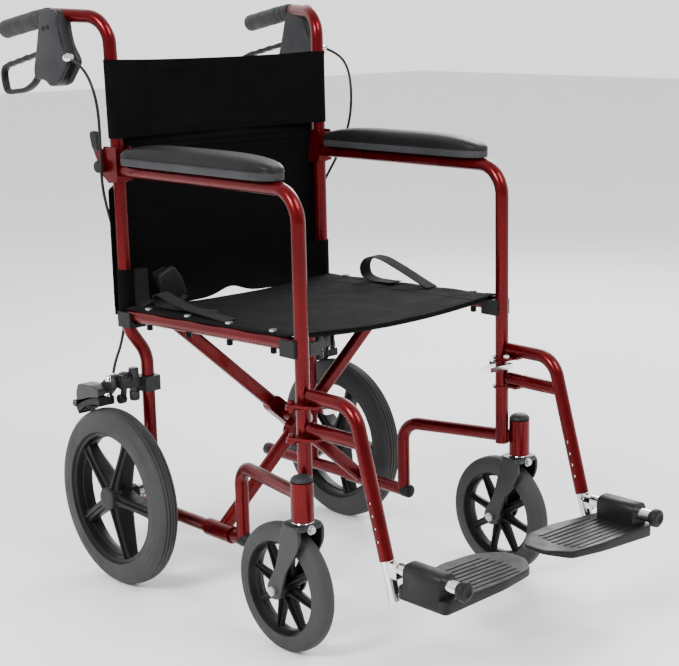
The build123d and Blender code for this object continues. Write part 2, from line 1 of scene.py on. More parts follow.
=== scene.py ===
import bmesh
import bpy
import numpy as np
from math import cos, pi, radians, sin
from mathutils import Matrix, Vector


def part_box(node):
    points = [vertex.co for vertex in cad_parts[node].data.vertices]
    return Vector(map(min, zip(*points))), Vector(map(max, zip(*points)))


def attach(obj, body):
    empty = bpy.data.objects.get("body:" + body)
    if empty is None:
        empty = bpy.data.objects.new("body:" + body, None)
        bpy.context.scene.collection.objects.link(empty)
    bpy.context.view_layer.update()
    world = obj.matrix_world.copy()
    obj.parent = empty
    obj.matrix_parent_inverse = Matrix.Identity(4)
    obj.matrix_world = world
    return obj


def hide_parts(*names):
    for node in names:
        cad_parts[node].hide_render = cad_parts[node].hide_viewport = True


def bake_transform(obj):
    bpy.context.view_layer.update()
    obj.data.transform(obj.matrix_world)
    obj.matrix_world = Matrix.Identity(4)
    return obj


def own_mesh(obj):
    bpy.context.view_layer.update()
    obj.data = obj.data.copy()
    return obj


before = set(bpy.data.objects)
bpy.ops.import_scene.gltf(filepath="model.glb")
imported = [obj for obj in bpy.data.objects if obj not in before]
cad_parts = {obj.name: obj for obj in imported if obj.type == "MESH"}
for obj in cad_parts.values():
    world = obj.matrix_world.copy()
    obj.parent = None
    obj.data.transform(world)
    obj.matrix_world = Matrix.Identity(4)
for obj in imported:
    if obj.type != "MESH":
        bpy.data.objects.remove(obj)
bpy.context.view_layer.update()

print("frame loaded")

# Lengths below are in millimetres in the frame's own axes; makePiece turns them into metres.


def corners(node):
    # the lowest and highest corner of a CAD node, in millimetres
    low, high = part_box(node)
    return np.array(low) * 1000, np.array(high) * 1000


def middle(node):
    # half way between those corners
    low, high = corners(node)
    return (low + high) / 2


rearWheelRadius = corners("rear_tyre_right")[1][2] / 2
casterRadius = corners("caster_tyre_right")[1][2] / 2
rearY = middle("rear_tyre_right")[1]
casterY = middle("caster_tyre_right")[1]
rearWheelX = middle("rear_tyre_left")[0]
casterX = middle("caster_tyre_left")[0]
frontY = corners("arm_tube_left")[0][1] + 15
armZ = corners("arm_tube_left")[1][2] - 11
postX = middle("arm_pad_left")[0]
stemY = frontY - 19
railX = 181.0
sides = (("right", -1), ("left", 1))


def bothSides(*makers):
    # each maker in turn on the right side, then on the left
    for side, sign in sides:
        for maker in makers:
            maker(side, sign)


# nodes of a material


class Finish:
    # one material with its node tree, and short ways to wire a bump, a tint and a roughness
    def __init__(self, name, base, rough, **fixed):
        self.material = bpy.data.materials.new(name)
        self.material.use_nodes = True
        self.nodes = self.material.node_tree.nodes
        self.links = self.material.node_tree.links
        self.shader = self.nodes["Principled BSDF"]
        self.shader.inputs["Base Color"].default_value = (*base, 1)
        self.shader.inputs["Roughness"].default_value = rough
        for socket, value in fixed.items():
            self.shader.inputs[socket.replace("_", " ")].default_value = value
        self.base = base
        self.heights = []

    def coords(self, uvName=None, scale=(1, 1, 1), turn=(0, 0, 0)):
        if uvName:
            source = self.nodes.new("ShaderNodeUVMap")
            source.uv_map = uvName
            out = source.outputs[0]
        else:
            out = self.nodes.new("ShaderNodeTexCoord").outputs["Object"]
        mapping = self.nodes.new("ShaderNodeMapping")
        mapping.inputs["Scale"].default_value = scale
        mapping.inputs["Rotation"].default_value = turn
        self.links.new(out, mapping.inputs["Vector"])
        return mapping.outputs[0]

    def noise(self, scale, detail=3.0, rough=0.55, vector=None, distortion=0.0):
        node = self.nodes.new("ShaderNodeTexNoise")
        node.inputs["Scale"].default_value = scale
        node.inputs["Detail"].default_value = detail
        node.inputs["Roughness"].default_value = rough
        node.inputs["Distortion"].default_value = distortion
        self.links.new(vector or self.coords(), node.inputs["Vector"])
        return node.outputs["Fac"]

    def cells(self, scale, vector=None, feature="F1"):
        node = self.nodes.new("ShaderNodeTexVoronoi")
        node.feature = feature
        node.inputs["Scale"].default_value = scale
        self.links.new(vector or self.coords(), node.inputs["Vector"])
        return node.outputs["Distance"]

    def waves(self, scale, vector, direction="X", distortion=0.0):
        node = self.nodes.new("ShaderNodeTexWave")
        node.bands_direction = direction
        node.inputs["Scale"].default_value = scale
        node.inputs["Distortion"].default_value = distortion
        self.links.new(vector, node.inputs["Vector"])
        return node.outputs["Fac"]

    def sums(self, a, b, operation="ADD"):
        node = self.nodes.new("ShaderNodeMath")
        node.operation = operation
        for index, value in enumerate((a, b)):
            if isinstance(value, (int, float)):
                node.inputs[index].default_value = value
            else:
                self.links.new(value, node.inputs[index])
        return node.outputs[0]

    def ramp(self, factor, stops):
        node = self.nodes.new("ShaderNodeValToRGB")
        elements = node.color_ramp.elements
        while len(elements) < len(stops):
            elements.new(0.5)
        for element, (place, colour) in zip(elements, stops):
            element.position = place
            element.color = (*colour, 1)
        self.links.new(factor, node.inputs[0])
        return node.outputs[0]

    def tint(self, factor, darker, lighter, low=0.35, high=0.65):
        dark = tuple(channel * darker for channel in self.base)
        light = tuple(channel * lighter for channel in self.base)
        colour = self.ramp(factor, [(low, dark), (high, light)])
        self.links.new(colour, self.shader.inputs["Base Color"])
        return self

    def roughness(self, factor, smooth, coarse, low=0.3, high=0.7):
        value = self.ramp(factor, [(low, (smooth,) * 3), (high, (coarse,) * 3)])
        self.links.new(value, self.shader.inputs["Roughness"])
        return self

    def bump(self, height, distance, strength=1.0):
        # bumps chain, so a fine grain lies over a coarse one
        node = self.nodes.new("ShaderNodeBump")
        node.inputs["Distance"].default_value = distance
        node.inputs["Strength"].default_value = strength
        self.links.new(height, node.inputs["Height"])
        if self.heights:
            self.links.new(self.heights[-1], node.inputs["Normal"])
        self.heights.append(node.outputs[0])
        self.links.new(node.outputs[0], self.shader.inputs["Normal"])
        return self


def candyRed():
    # tint = 0.6 * flake cells + a slow cloud; the orange peel is a fine noise bump
    look = Finish("candyRed", (0.082, 0.0010, 0.0024), 0.3, Metallic=0.7, Coat_Weight=0.16, Specular_IOR_Level=0.18)
    look.shader.inputs["Coat Roughness"].default_value = 0.06
    flakes = look.cells(1500)
    cloud = look.noise(14, 4)
    look.tint(look.sums(look.sums(flakes, 0.6, "MULTIPLY"), cloud), 0.72, 1.3, 0.35, 0.95)
    look.roughness(look.noise(60), 0.25, 0.36)
    look.bump(look.noise(260, 2), 0.00012, 0.5)
    return look.material


def chromePlate():
    # mirror metal whose roughness and tint drift with noise
    look = Finish("chromePlate", (0.78, 0.78, 0.79), 0.1, Metallic=1.0)
    look.roughness(look.noise(80, 6), 0.06, 0.2)
    look.tint(look.noise(25), 0.88, 1.08)
    look.bump(look.noise(500, 2), 0.00004, 0.4)
    return look.material


def zincSteel():
    # dull metal, its roughness and tint noise at a finer scale
    look = Finish("zincSteel", (0.48, 0.48, 0.5), 0.34, Metallic=0.95)
    look.roughness(look.noise(150, 6), 0.25, 0.5)
    look.tint(look.noise(60), 0.75, 1.15)
    look.bump(look.noise(900, 3), 0.00006, 0.5)
    return look.material


def mouldedPlastic(name, base, rough, grain=1400, depth=0.00012):
    # slow noise for tint and roughness, and cell noise as the moulded grain
    look = Finish(name, base, rough, Specular_IOR_Level=0.16)
    look.tint(look.noise(18, 5), 0.85, 1.2)
    look.roughness(look.noise(45, 4), rough - 0.07, rough + 0.1)
    look.bump(look.noise(40, 2), 0.0003, 0.25)
    look.bump(look.cells(grain), depth, 0.5)
    return look.material


def blackPaint():
    look = Finish("blackPaint", (0.008, 0.008, 0.009), 0.33, Coat_Weight=0.1, Specular_IOR_Level=0.35)
    look.tint(look.noise(30, 5), 0.8, 1.4)
    look.roughness(look.noise(90, 5), 0.26, 0.44)
    look.bump(look.noise(420, 3), 0.00014, 0.5)
    return look.material


def wovenCloth(name, base, rough, pitch, sheen, relief=0.00025):
    # two crossed wave textures on the piece's own cloth map, which is in metres
    look = Finish(name, base, rough, Sheen_Weight=sheen, Specular_IOR_Level=0.035)
    look.shader.inputs["Sheen Roughness"].default_value = 0.55
    warp = look.waves(pitch, look.coords("cloth"), "X", 0.6)
    weft = look.waves(pitch, look.coords("cloth"), "Y", 0.6)
    weave = look.sums(warp, weft, "MAXIMUM")
    fading = look.noise(9, 5, 0.6)
    look.tint(look.sums(look.sums(weave, 0.35, "MULTIPLY"), fading), 0.7, 1.45, 0.4, 1.0)
    look.roughness(look.noise(30, 4), rough - 0.06, rough + 0.08)
    look.bump(look.noise(22, 4, 0.6), 0.0012, 0.35)
    look.bump(weave, relief, 0.8)
    return look.material


def grainedVinyl(name, base, rough):
    # grain height = pebble cells + 0.6 * creases, over a slow swell
    look = Finish(name, base, rough, Coat_Weight=0.02, Specular_IOR_Level=0.15)
    pebbles = look.cells(620)
    creases = look.noise(260, 5, 0.65)
    look.tint(look.noise(12, 4), 0.82, 1.2)
    look.roughness(creases, rough - 0.06, rough + 0.12)
    look.bump(look.noise(16, 3), 0.001, 0.3)
    look.bump(look.sums(pebbles, look.sums(creases, 0.6, "MULTIPLY")), 0.0003, 0.75)
    return look.material


def tyreRubber():
    # dusty tint from slow noise, with a fine bump
    look = Finish("tyreRubber", (0.03, 0.03, 0.031), 0.58, Specular_IOR_Level=0.25)
    look.tint(look.noise(7, 6, 0.6), 0.75, 1.35, 0.3, 0.75)
    look.roughness(look.noise(20, 5), 0.52, 0.74)
    look.bump(look.noise(35, 4), 0.0005, 0.3)
    look.bump(look.noise(900, 3), 0.00012, 0.5)
    return look.material


def gripRubber():
    # rough noise bump with small cells over it
    look = Finish("gripRubber", (0.009, 0.009, 0.0095), 0.5, Specular_IOR_Level=0.35)
    look.tint(look.noise(40, 5), 0.7, 1.6)
    look.roughness(look.noise(90, 4), 0.45, 0.66)
    look.bump(look.noise(150, 5, 0.65), 0.0006, 0.6)
    look.bump(look.cells(1700), 0.0002, 0.6)
    return look.material


def seatScrew():
    # bright above the seat rail's top, where z > 0.469, and blackened below it
    look = Finish("seatScrew", (0.4, 0.4, 0.42), 0.32, Metallic=0.9)
    split = look.nodes.new("ShaderNodeSeparateXYZ")
    look.links.new(look.coords(), split.inputs[0])
    above = look.sums(split.outputs["Z"], 0.469, "GREATER_THAN")
    grain = look.sums(look.noise(300), 0.4, "MULTIPLY")
    mixed = look.ramp(look.sums(above, grain), [(0.3, (0.004, 0.004, 0.004)), (1.0, (0.5, 0.5, 0.52))])
    look.links.new(mixed, look.shader.inputs["Base Color"])
    look.roughness(look.noise(200, 5), 0.25, 0.45)
    look.bump(look.noise(900, 3), 0.00006, 0.5)
    return look.material


looks = {
    "red": candyRed(),
    "screw": seatScrew(),
    "chrome": chromePlate(),
    "zinc": zincSteel(),
    "blackPaint": blackPaint(),
    "blackPlastic": mouldedPlastic("blackPlastic", (0.008, 0.008, 0.0085), 0.4),
    "rimPlastic": mouldedPlastic("rimPlastic", (0.007, 0.007, 0.0075), 0.38),
    "greyPlastic": mouldedPlastic("greyPlastic", (0.020, 0.0205, 0.023), 0.46),
    "capPlastic": mouldedPlastic("capPlastic", (0.020, 0.0203, 0.0213), 0.5),
    "nylon": wovenCloth("nylon", (0.0018, 0.0018, 0.0019), 0.8, 260, 0.006),
    "seatCloth": wovenCloth("seatCloth", (0.0045, 0.0045, 0.0047), 0.78, 240, 0.01),
    "webbing": wovenCloth("webbing", (0.0065, 0.0065, 0.0069), 0.66, 330, 0.04, 0.0005),
    "padTop": grainedVinyl("padTop", (0.006, 0.0062, 0.0065), 0.42),
    "padBand": grainedVinyl("padBand", (0.030, 0.0308, 0.0335), 0.52),
    "tyre": tyreRubber(),
    "grip": gripRubber(),
}
print("materials made")


def makePiece(name, grids, look, body, closeU=False, closeV=False, uv=None, sharp=35,
              slot=None):
    # grids: one or more (rows, columns, 3) arrays of points in millimetres, each joined into quads;
    # closeU joins the last row to the first, closeV the last column to the first
    grids = grids if isinstance(grids, list) else [grids]
    points, faces, cloth, start = [], [], [], 0
    for grid in grids:
        rows, columns = grid.shape[:2]
        index = np.arange(rows * columns).reshape(rows, columns) + start
        if closeU:
            index = np.vstack([index, index[:1]])
        if closeV:
            index = np.hstack([index, index[:, :1]])
        quads = np.stack([index[:-1, :-1], index[1:, :-1], index[1:, 1:], index[:-1, 1:]], -1)
        faces.append(quads.reshape(-1, 4))
        points.append(grid.reshape(-1, 3))
        start += rows * columns
    points = np.vstack(points) / 1000
    mesh = bpy.data.meshes.new(name)
    mesh.from_pydata(points.tolist(), [], np.vstack(faces).tolist())
    if uv is not None:
        layer = mesh.uv_layers.new(name="cloth")
        loops = np.empty(len(mesh.loops), int)
        mesh.loops.foreach_get("vertex_index", loops)
        layer.data.foreach_set("uv", (uv.reshape(-1, 2)[loops] / 1000).ravel())
    work = bmesh.new()
    work.from_mesh(mesh)
    bmesh.ops.remove_doubles(work, verts=work.verts, dist=2e-6)
    bmesh.ops.dissolve_degenerate(work, dist=1e-7, edges=work.edges)
    bmesh.ops.recalc_face_normals(work, faces=work.faces)
    work.to_mesh(mesh)
    work.free()
    mesh.polygons.foreach_set("use_smooth", np.ones(len(mesh.polygons), bool))
    mesh.set_sharp_from_angle(angle=radians(sharp))
    mesh.materials.append(looks[look])
    piece = bpy.data.objects.new(name, mesh)
    bpy.context.collection.objects.link(piece)
    if body:
        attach(piece, body)
    return piece


def unit(vectors):
    return vectors / np.maximum(np.linalg.norm(vectors, axis=-1, keepdims=True), 1e-9)


def smoothPath(points, count, closed=False):
    # Catmull-Rom curve through the points: each span is a cubic of its four nearest points
    points = np.array(points, float)
    if closed:
        ring = np.vstack([points[-1:], points, points[:2]])
    else:
        first = 2 * points[0] - points[1]
        last = 2 * points[-1] - points[-2]
        ring = np.vstack([first, points, last])
    spans = len(ring) - 3
    place = np.linspace(0, spans, count, endpoint=not closed)
    span = np.minimum(place.astype(int), spans - 1)
    t = (place - span)[:, None]
    a, b, c, d = (ring[span + offset] for offset in range(4))
    return 0.5 * (2 * b + (c - a) * t + (2 * a - 5 * b + 4 * c - d) * t**2 + (3 * b - a - 3 * c + d) * t**3)


def roundedOutline(points, radius, steps=6):
    # each corner of a polygon becomes a short parabola that starts and ends radius away from it
    points = np.array(points, float)
    before, after = np.roll(points, 1, 0), np.roll(points, -1, 0)
    reachIn = np.minimum(radius, 0.48 * np.linalg.norm(before - points, axis=1))[:, None]
    reachOut = np.minimum(radius, 0.48 * np.linalg.norm(after - points, axis=1))[:, None]
    start = points + unit(before - points) * reachIn
    end = points + unit(after - points) * reachOut
    t = np.linspace(0, 1, steps)[None, :, None]
    curve = (1 - t) ** 2 * start[:, None] + 2 * t * (1 - t) * points[:, None] + t**2 * end[:, None]
    return curve.reshape(-1, 2)


def evenly(outline, count):
    # the same closed outline with points at equal distances along it
    ring = np.vstack([outline, outline[:1]])
    run = np.concatenate([[0], np.cumsum(np.linalg.norm(np.diff(ring, axis=0), axis=1))])
    place = np.linspace(0, run[-1], count, endpoint=False)
    return np.stack([np.interp(place, run, ring[:, axis]) for axis in range(2)], 1)


def outward(outline):
    # unit normals of a closed outline, turned away from its middle
    ahead = np.roll(outline, -1, 0) - np.roll(outline, 1, 0)
    normal = unit(np.stack([ahead[:, 1], -ahead[:, 0]], 1))
    area = np.sum(outline[:, 0] * np.roll(outline[:, 1], -1) - np.roll(outline[:, 0], -1) * outline[:, 1])
    return normal * (1 if area > 0 else -1)


def plateGrid(outline, middleAt, thickness, edge, axis=0, crown=0.0, centre=None):
    # an outline carried through its thickness: it draws in by edge * (1 - cos a) while it rises
    # by edge * sin a, then closes over to its centre in three rings; crown lifts the two faces
    outline = np.array(outline, float)
    normal = outward(outline)
    centre = outline.mean(0) if centre is None else np.array(centre, float)
    angle = np.linspace(0, pi / 2, 5)
    rows, heights = [], []
    for turn in angle:
        rows.append(outline - normal * edge * (1 - cos(turn)))
        heights.append(thickness / 2 - edge * (1 - sin(turn)))
    face = rows[-1]
    for share in (0.93, 0.6, 0.3, 0.0):
        rows.append(centre + (face - centre) * share)
        heights.append(thickness / 2 + crown * (1 - share**2))
    rows = np.array(rows[::-1] + rows)
    heights = np.array([-h for h in heights[::-1]] + heights)
    grid = np.zeros((*rows.shape[:2], 3))
    others = [i for i in range(3) if i != axis]
    grid[..., others] = rows
    grid[..., axis] = middleAt + heights[:, None]
    return grid


def turnedGrid(profile, centre, axis=0, count=96):
    # a closed or open profile of (along, radius) pairs turned about an axis through centre
    profile = np.array(profile, float)
    angle = np.linspace(0, 2 * pi, count, endpoint=False)[:, None]
    grid = np.zeros((count, len(profile), 3))
    others = [i for i in range(3) if i != axis]
    grid[..., axis] = centre[axis] + profile[None, :, 0]
    grid[..., others[0]] = centre[others[0]] + profile[None, :, 1] * np.cos(angle)
    grid[..., others[1]] = centre[others[1]] + profile[None, :, 1] * np.sin(angle)
    return grid


def turned(name, profile, centre, look, body, axis=0, count=96, **more):
    # a piece whose profile is turned about an axis
    return makePiece(name, turnedGrid(profile, centre, axis, count), look, body, closeU=True, **more)


def plated(name, outline, middleAt, thickness, edge, look, body, axis=0, crown=0.0, centre=None, **more):
    # a piece whose outline is carried through its thickness
    grid = plateGrid(outline, middleAt, thickness, edge, axis, crown, centre)
    return makePiece(name, grid, look, body, closeV=True, **more)


def sweptGrid(path, section, reference=(1, 0, 0), closed=False, scale=None):
    # a section of (side, up) pairs carried along a path; side is the reference made square to it
    path = np.array(path, float)
    if closed:
        ahead = unit(np.roll(path, -1, 0) - np.roll(path, 1, 0))
    else:
        ahead = unit(np.gradient(path, axis=0))
    side = unit(np.array(reference, float) - ahead * (ahead @ np.array(reference, float))[:, None])
    up = np.cross(side, ahead)
    section = np.array(section, float)
    if section.ndim == 2:
        section = np.broadcast_to(section, (len(path), *section.shape))
    if scale is not None:
        section = section * np.array(scale)[:, None, None]
    return path[:, None] + section[..., :1] * side[:, None] + section[..., 1:] * up[:, None]


def roundSection(radius, count=20):
    angle = np.linspace(0, 2 * pi, count, endpoint=False)
    return np.stack([np.cos(angle), np.sin(angle)], 1) * radius


def boxSection(width, height, power=4, count=28):
    # superellipse: both axes follow cos and sin raised to 2 / power
    angle = np.linspace(0, 2 * pi, count, endpoint=False)
    across = np.sign(np.cos(angle)) * np.abs(np.cos(angle)) ** (2 / power)
    up = np.sign(np.sin(angle)) * np.abs(np.sin(angle)) ** (2 / power)
    return np.stack([across * width / 2, up * height / 2], 1)


def endScale(count, ease=0.12, power=2.0):
    # 1 along most of a run, falling to 0 at both ends like a rounded tip
    place = np.linspace(-1, 1, count)
    rest = np.clip((np.abs(place) - (1 - ease)) / ease, 0, 1)
    return (1 - rest**power) ** (1 / power)


def smoothStep(value, low, high):
    t = np.clip((value - low) / (high - low), 0, 1)
    return t * t * (3 - 2 * t)


# camera, light and floor
view = {
    "place": (-1653.57, frontY - 1717.61, 968.15),
    "yaw": -43.907, "pitch": 12.737, "roll": -0.7685,
    "lens": 82.66, "shift": (-0.1008, 0.0291),
}
yaw, pitch, roll = (radians(view[key]) for key in ("yaw", "pitch", "roll"))
forward = np.array([-sin(yaw) * cos(pitch), cos(yaw) * cos(pitch), -sin(pitch)])
level = unit(np.cross(forward, (0, 0, 1)))
upward = np.cross(level, forward)
acrossView = cos(roll) * level + sin(roll) * upward
upView = cos(roll) * upward - sin(roll) * level
camera = bpy.data.objects.new("camera", bpy.data.cameras.new("camera"))
camera.data.lens = view["lens"]
camera.data.shift_x, camera.data.shift_y = view["shift"]
camera.matrix_world = Matrix.Translation([c / 1000 for c in view["place"]]) @ Matrix(
    np.stack([acrossView, upView, -forward], 1).tolist()).to_4x4()
bpy.context.collection.objects.link(camera)
bpy.context.scene.camera = camera

studio = {
    "sky": 1.75, "dim": 0.5, "floor": (0.95, 0.95, 0.95), "reach": 14.0,
    "lamps": [  # place, size, watts
        ((-2.8, -0.4, 2.4), 1.0, 130),
        ((0.2, -2.6, 3.2), 1.6, 120),
        ((2.6, 1.4, 2.0), 1.2, 60),
    ],
}
world = bpy.data.worlds.new("studio")
world.use_nodes = True
world.node_tree.nodes["Background"].inputs[0].default_value = (1, 1, 1, 1)
worldNodes, worldLinks = world.node_tree.nodes, world.node_tree.links
# brightness follows how far a direction points away from the viewer's side of the room
facing = worldNodes.new("ShaderNodeVectorMath")
facing.operation = "DOT_PRODUCT"
facing.inputs[1].default_value = (0.69, 0.72, 0.0)
worldLinks.new(worldNodes.new("ShaderNodeTexCoord").outputs["Generated"], facing.inputs[0])
fade = worldNodes.new("ShaderNodeMapRange")
fade.interpolation_type = "SMOOTHSTEP"
for socket, value in (("From Min", -0.7), ("From Max", 0.5), ("To Min", studio["dim"]), ("To Max", studio["sky"])):
    fade.inputs[socket].default_value = value
worldLinks.new(facing.outputs["Value"], fade.inputs["Value"])
worldLinks.new(fade.outputs[0], worldNodes["Background"].inputs[1])
bpy.context.scene.world = world
for number, (place, size, watts) in enumerate(studio["lamps"]):
    lamp = bpy.data.objects.new(f"lamp{number}", bpy.data.lights.new(f"lamp{number}", "AREA"))
    lamp.data.size, lamp.data.energy = size, watts
    lamp.location = place
    aim = np.array([0, 0, 0.45]) - np.array(place)
    lamp.rotation_euler = Matrix(np.stack([
        unit(np.cross(aim, (0, 0, 1))),
        np.cross(unit(np.cross(aim, (0, 0, 1))), unit(aim)), -unit(aim)], 1).tolist()).to_euler()
    bpy.context.collection.objects.link(lamp)
floorMesh = bpy.data.meshes.new("floor")
reach = studio["reach"]
floorCorners = [(-reach, -reach, 0), (reach, -reach, 0), (reach, reach, 0), (-reach, reach, 0)]
floorMesh.from_pydata(floorCorners, [], [(0, 1, 2, 3)])
floor = bpy.data.objects.new("floor", floorMesh)
floorLook = Finish("paleFloor", studio["floor"], 0.85)
floorLook.tint(floorLook.noise(3), 0.99, 1.01)
floorMesh.materials.append(floorLook.material)
bpy.context.collection.objects.link(floor)
print("camera, light and floor made")

# CAD nodes that keep their own shape
kept = {
    "red": ["arm_tube", "rear_post", "lower_frame", "hanger", "push_cane", "back_release"],
    "chrome": ["leg_extension", "hanger_latch"],
    "zinc": ["caster_axle", "rear_axle"],
    "blackPaint": ["brake_mount"],
    "blackPlastic": ["seat_saddles"],
}
single = {"cross_brace_front": "red", "cross_brace_rear": "red", "pivot_bolt": "zinc",
          "seat_screws_right": "screw", "seat_screws_left": "screw"}
for look, names in kept.items():
    for nodeName in names:
        for side, sign in sides:
            single[f"{nodeName}_{side}"] = look
for nodeName, look in single.items():
    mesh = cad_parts[nodeName].data
    mesh.materials.clear()
    mesh.materials.append(looks[look])
print("CAD nodes painted")

# wheels
tyre = {"half": 22.0, "shoulder": 1.35, "inner": 115.0, "grooves": (-8.4, -2.8, 2.8, 8.4), "depth": 2.6}
casterTyre = {"half": 16.0, "shoulder": 1.5, "inner": 75.0}


def tyreProfile(radius, half, inner, shoulder, grooves=(), depth=0.0, ridges=()):
    # half a superellipse from one bead over the crown to the other, with a dip at each groove
    # and a low ring on each sidewall, closed along the rim seat
    a = np.linspace(-pi / 2, pi / 2, 150)
    rise = radius - inner
    across = half * np.sign(np.sin(a)) * np.abs(np.sin(a)) ** (1 / shoulder)
    up = inner + rise * np.cos(a) ** 0.62
    for groove in grooves:
        up = up - depth * np.exp(-(((across - groove) / 0.8) ** 4))
    for ring, lift in ridges:
        across = across + np.sign(across) * lift * np.exp(-(((up - ring) / 1.1) ** 2))
    seat = np.array([[half * 0.8, inner - 1], [-half * 0.8, inner - 1]])
    return np.vstack([np.stack([across, up], 1), seat])


def spoke(centre, angle, reach, depth, width):
    # a box-like bar from the hub to the rim: its section is a superellipse that narrows half way out
    place = np.linspace(0, 1, 24)
    radius = reach[0] + (reach[1] - reach[0]) * place
    path = np.zeros((24, 3))
    path[:, 0] = centre[0]
    path[:, 1] = centre[1] - radius * sin(angle)
    path[:, 2] = centre[2] + radius * cos(angle)
    wide = width[0] + (width[1] - width[0]) * place + width[2] * (2 * place - 1) ** 4
    deep = depth[0] + (depth[1] - depth[0]) * place
    base = boxSection(2, 2, 5, 32)
    section = base[None] * np.stack([deep / 2, wide / 2], 1)[:, None]
    return sweptGrid(path, section)


rim = {
    "lip": 117.0, "barrel": 105.0, "half": 19.5, "spokes": 5, "turn": 22.0,
    "depth": (36.0, 21.0), "width": (19.0, 19.0, 9.0), "hub": 26.0, "cap": 19.4,
}
casterRim = {
    "lip": 77.0, "barrel": 69.0, "half": 13.0, "spokes": 8, "turn": 14.0,
    "depth": (26.0, 15.0), "width": (9.0, 7.0, 4.0), "hub": 16.5,
}


def barrelProfile(size):
    # outer seat under the tyre, lips at both sides, and a barrel with a raised middle band
    half, lip, barrel = size["half"], size["lip"], size["barrel"]
    return [
        (-half, lip), (-half - 1.2, lip - 1), (-half - 1.0, lip - 3.5), (-half + 2, lip - 5),
        (-half + 4, barrel + 2.5), (-half * 0.5, barrel + 0.8), (-5, barrel), (-4, barrel - 2.2),
        (4, barrel - 2.2), (5, barrel), (half * 0.5, barrel + 0.8), (half - 4, barrel + 2.5),
        (half - 2, lip - 5), (half + 1.0, lip - 3.5), (half + 1.2, lip - 1), (half, lip),
    ]


def wheelPieces(side, sign):
    # tyre, barrel, hub and cap are profiles turned about the axle; a spoke is a bar carried outwards
    centre = np.array([sign * rearWheelX, rearY, rearWheelRadius])
    profile = tyreProfile(rearWheelRadius, tyre["half"] - 0.6, tyre["inner"], tyre["shoulder"],
                          tyre["grooves"], tyre["depth"], ((126, 0.5), (134, 0.5), (143, 0.6)))
    piece = turned(f"rearTyre_{side}", profile, centre, "tyre", f"rear_wheel_{side}", count=240, closeV=True,
                   sharp=50)
    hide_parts(f"rear_tyre_{side}")
    barrel = turnedGrid(barrelProfile(rim), centre, count=160)
    makePiece(f"rearRimBarrel_{side}", barrel, "rimPlastic", f"rear_wheel_{side}",
              closeU=True, closeV=True)
    bars = [spoke(centre, radians(rim["turn"] + 360 / rim["spokes"] * k), (18, rim["barrel"] + 2),
                  rim["depth"], rim["width"]) for k in range(rim["spokes"])]
    ribs = [spoke(centre, radians(rim["turn"] + 360 / rim["spokes"] * k), (18, rim["barrel"] + 1),
                  (46, 28), (6.0, 5.0, 1.5)) for k in range(rim["spokes"])]
    makePiece(f"rearSpokes_{side}", bars + ribs, "rimPlastic", f"rear_wheel_{side}", closeV=True)
    hub = [(sign * -33, 9), (sign * -33, 14.4), (sign * -31.5, 15), (sign * -16, 16.5), (sign * -14, rim["hub"] - 3),
           (sign * -11, rim["hub"]), (sign * 9, rim["hub"]), (sign * 12, rim["hub"] - 2), (sign * 14, 19.5),
           (sign * 19.5, 18.3), (sign * 20.5, 17.5), (sign * 20.5, 9)]
    piece = turned(f"rearHub_{side}", hub, centre, "rimPlastic", f"rear_wheel_{side}", count=80, closeV=True)
    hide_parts(f"rear_rim_{side}")
    cap = [(sign * 17, 0.0), (sign * 17, rim["cap"]), (sign * 25, rim["cap"]), (sign * 26.2, rim["cap"] - 0.9),
           (sign * 26.9, rim["cap"] - 3), (sign * 27.4, 8), (sign * 27.6, 0.0)]
    turned(f"hubCap_{side}", cap, centre, "capPlastic", f"frame_{side}", count=64)


def casterPieces(side, sign):
    # made like the rear wheel, with each spoke a flat bar crossed by a thin web
    centre = np.array([sign * casterX, casterY, casterRadius])
    profile = tyreProfile(casterRadius, casterTyre["half"] - 0.6, casterTyre["inner"], casterTyre["shoulder"],
                          ridges=((83, 0.4), (90, 0.4)))
    piece = turned(f"casterTyre_{side}", profile, centre, "tyre", f"caster_wheel_{side}", count=200, closeV=True,
                   sharp=50)
    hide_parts(f"caster_tyre_{side}")
    turned(f"casterRimBarrel_{side}", barrelProfile(casterRim), centre, "rimPlastic", f"caster_wheel_{side}",
           count=140, closeV=True)
    bars = []
    for k in range(casterRim["spokes"]):
        angle = radians(casterRim["turn"] + 360 / casterRim["spokes"] * k)
        bars.append(spoke(centre, angle, (12, casterRim["barrel"] + 2), (9, 8), (15.0, 11.0, 3.0)))
        bars.append(spoke(centre, angle, (12, casterRim["barrel"] + 1), casterRim["depth"], (4.0, 3.4, 1.0)))
    makePiece(f"casterSpokes_{side}", bars, "rimPlastic", f"caster_wheel_{side}", closeV=True)
    hub = [(-18, 4.3), (-18, 12.5), (-16.5, 14), (-8, casterRim["hub"]), (8, casterRim["hub"]), (16.5, 14),
           (18, 12.5), (18, 4.3)]
    piece = turned(f"casterHub_{side}", hub, centre, "rimPlastic", f"caster_wheel_{side}", count=64, closeV=True)
    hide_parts(f"caster_rim_{side}")


# caster forks
fork = {"bladeX": 23.0, "bladeT": 5.6, "crownZ": 209.3, "crownT": 9.4}


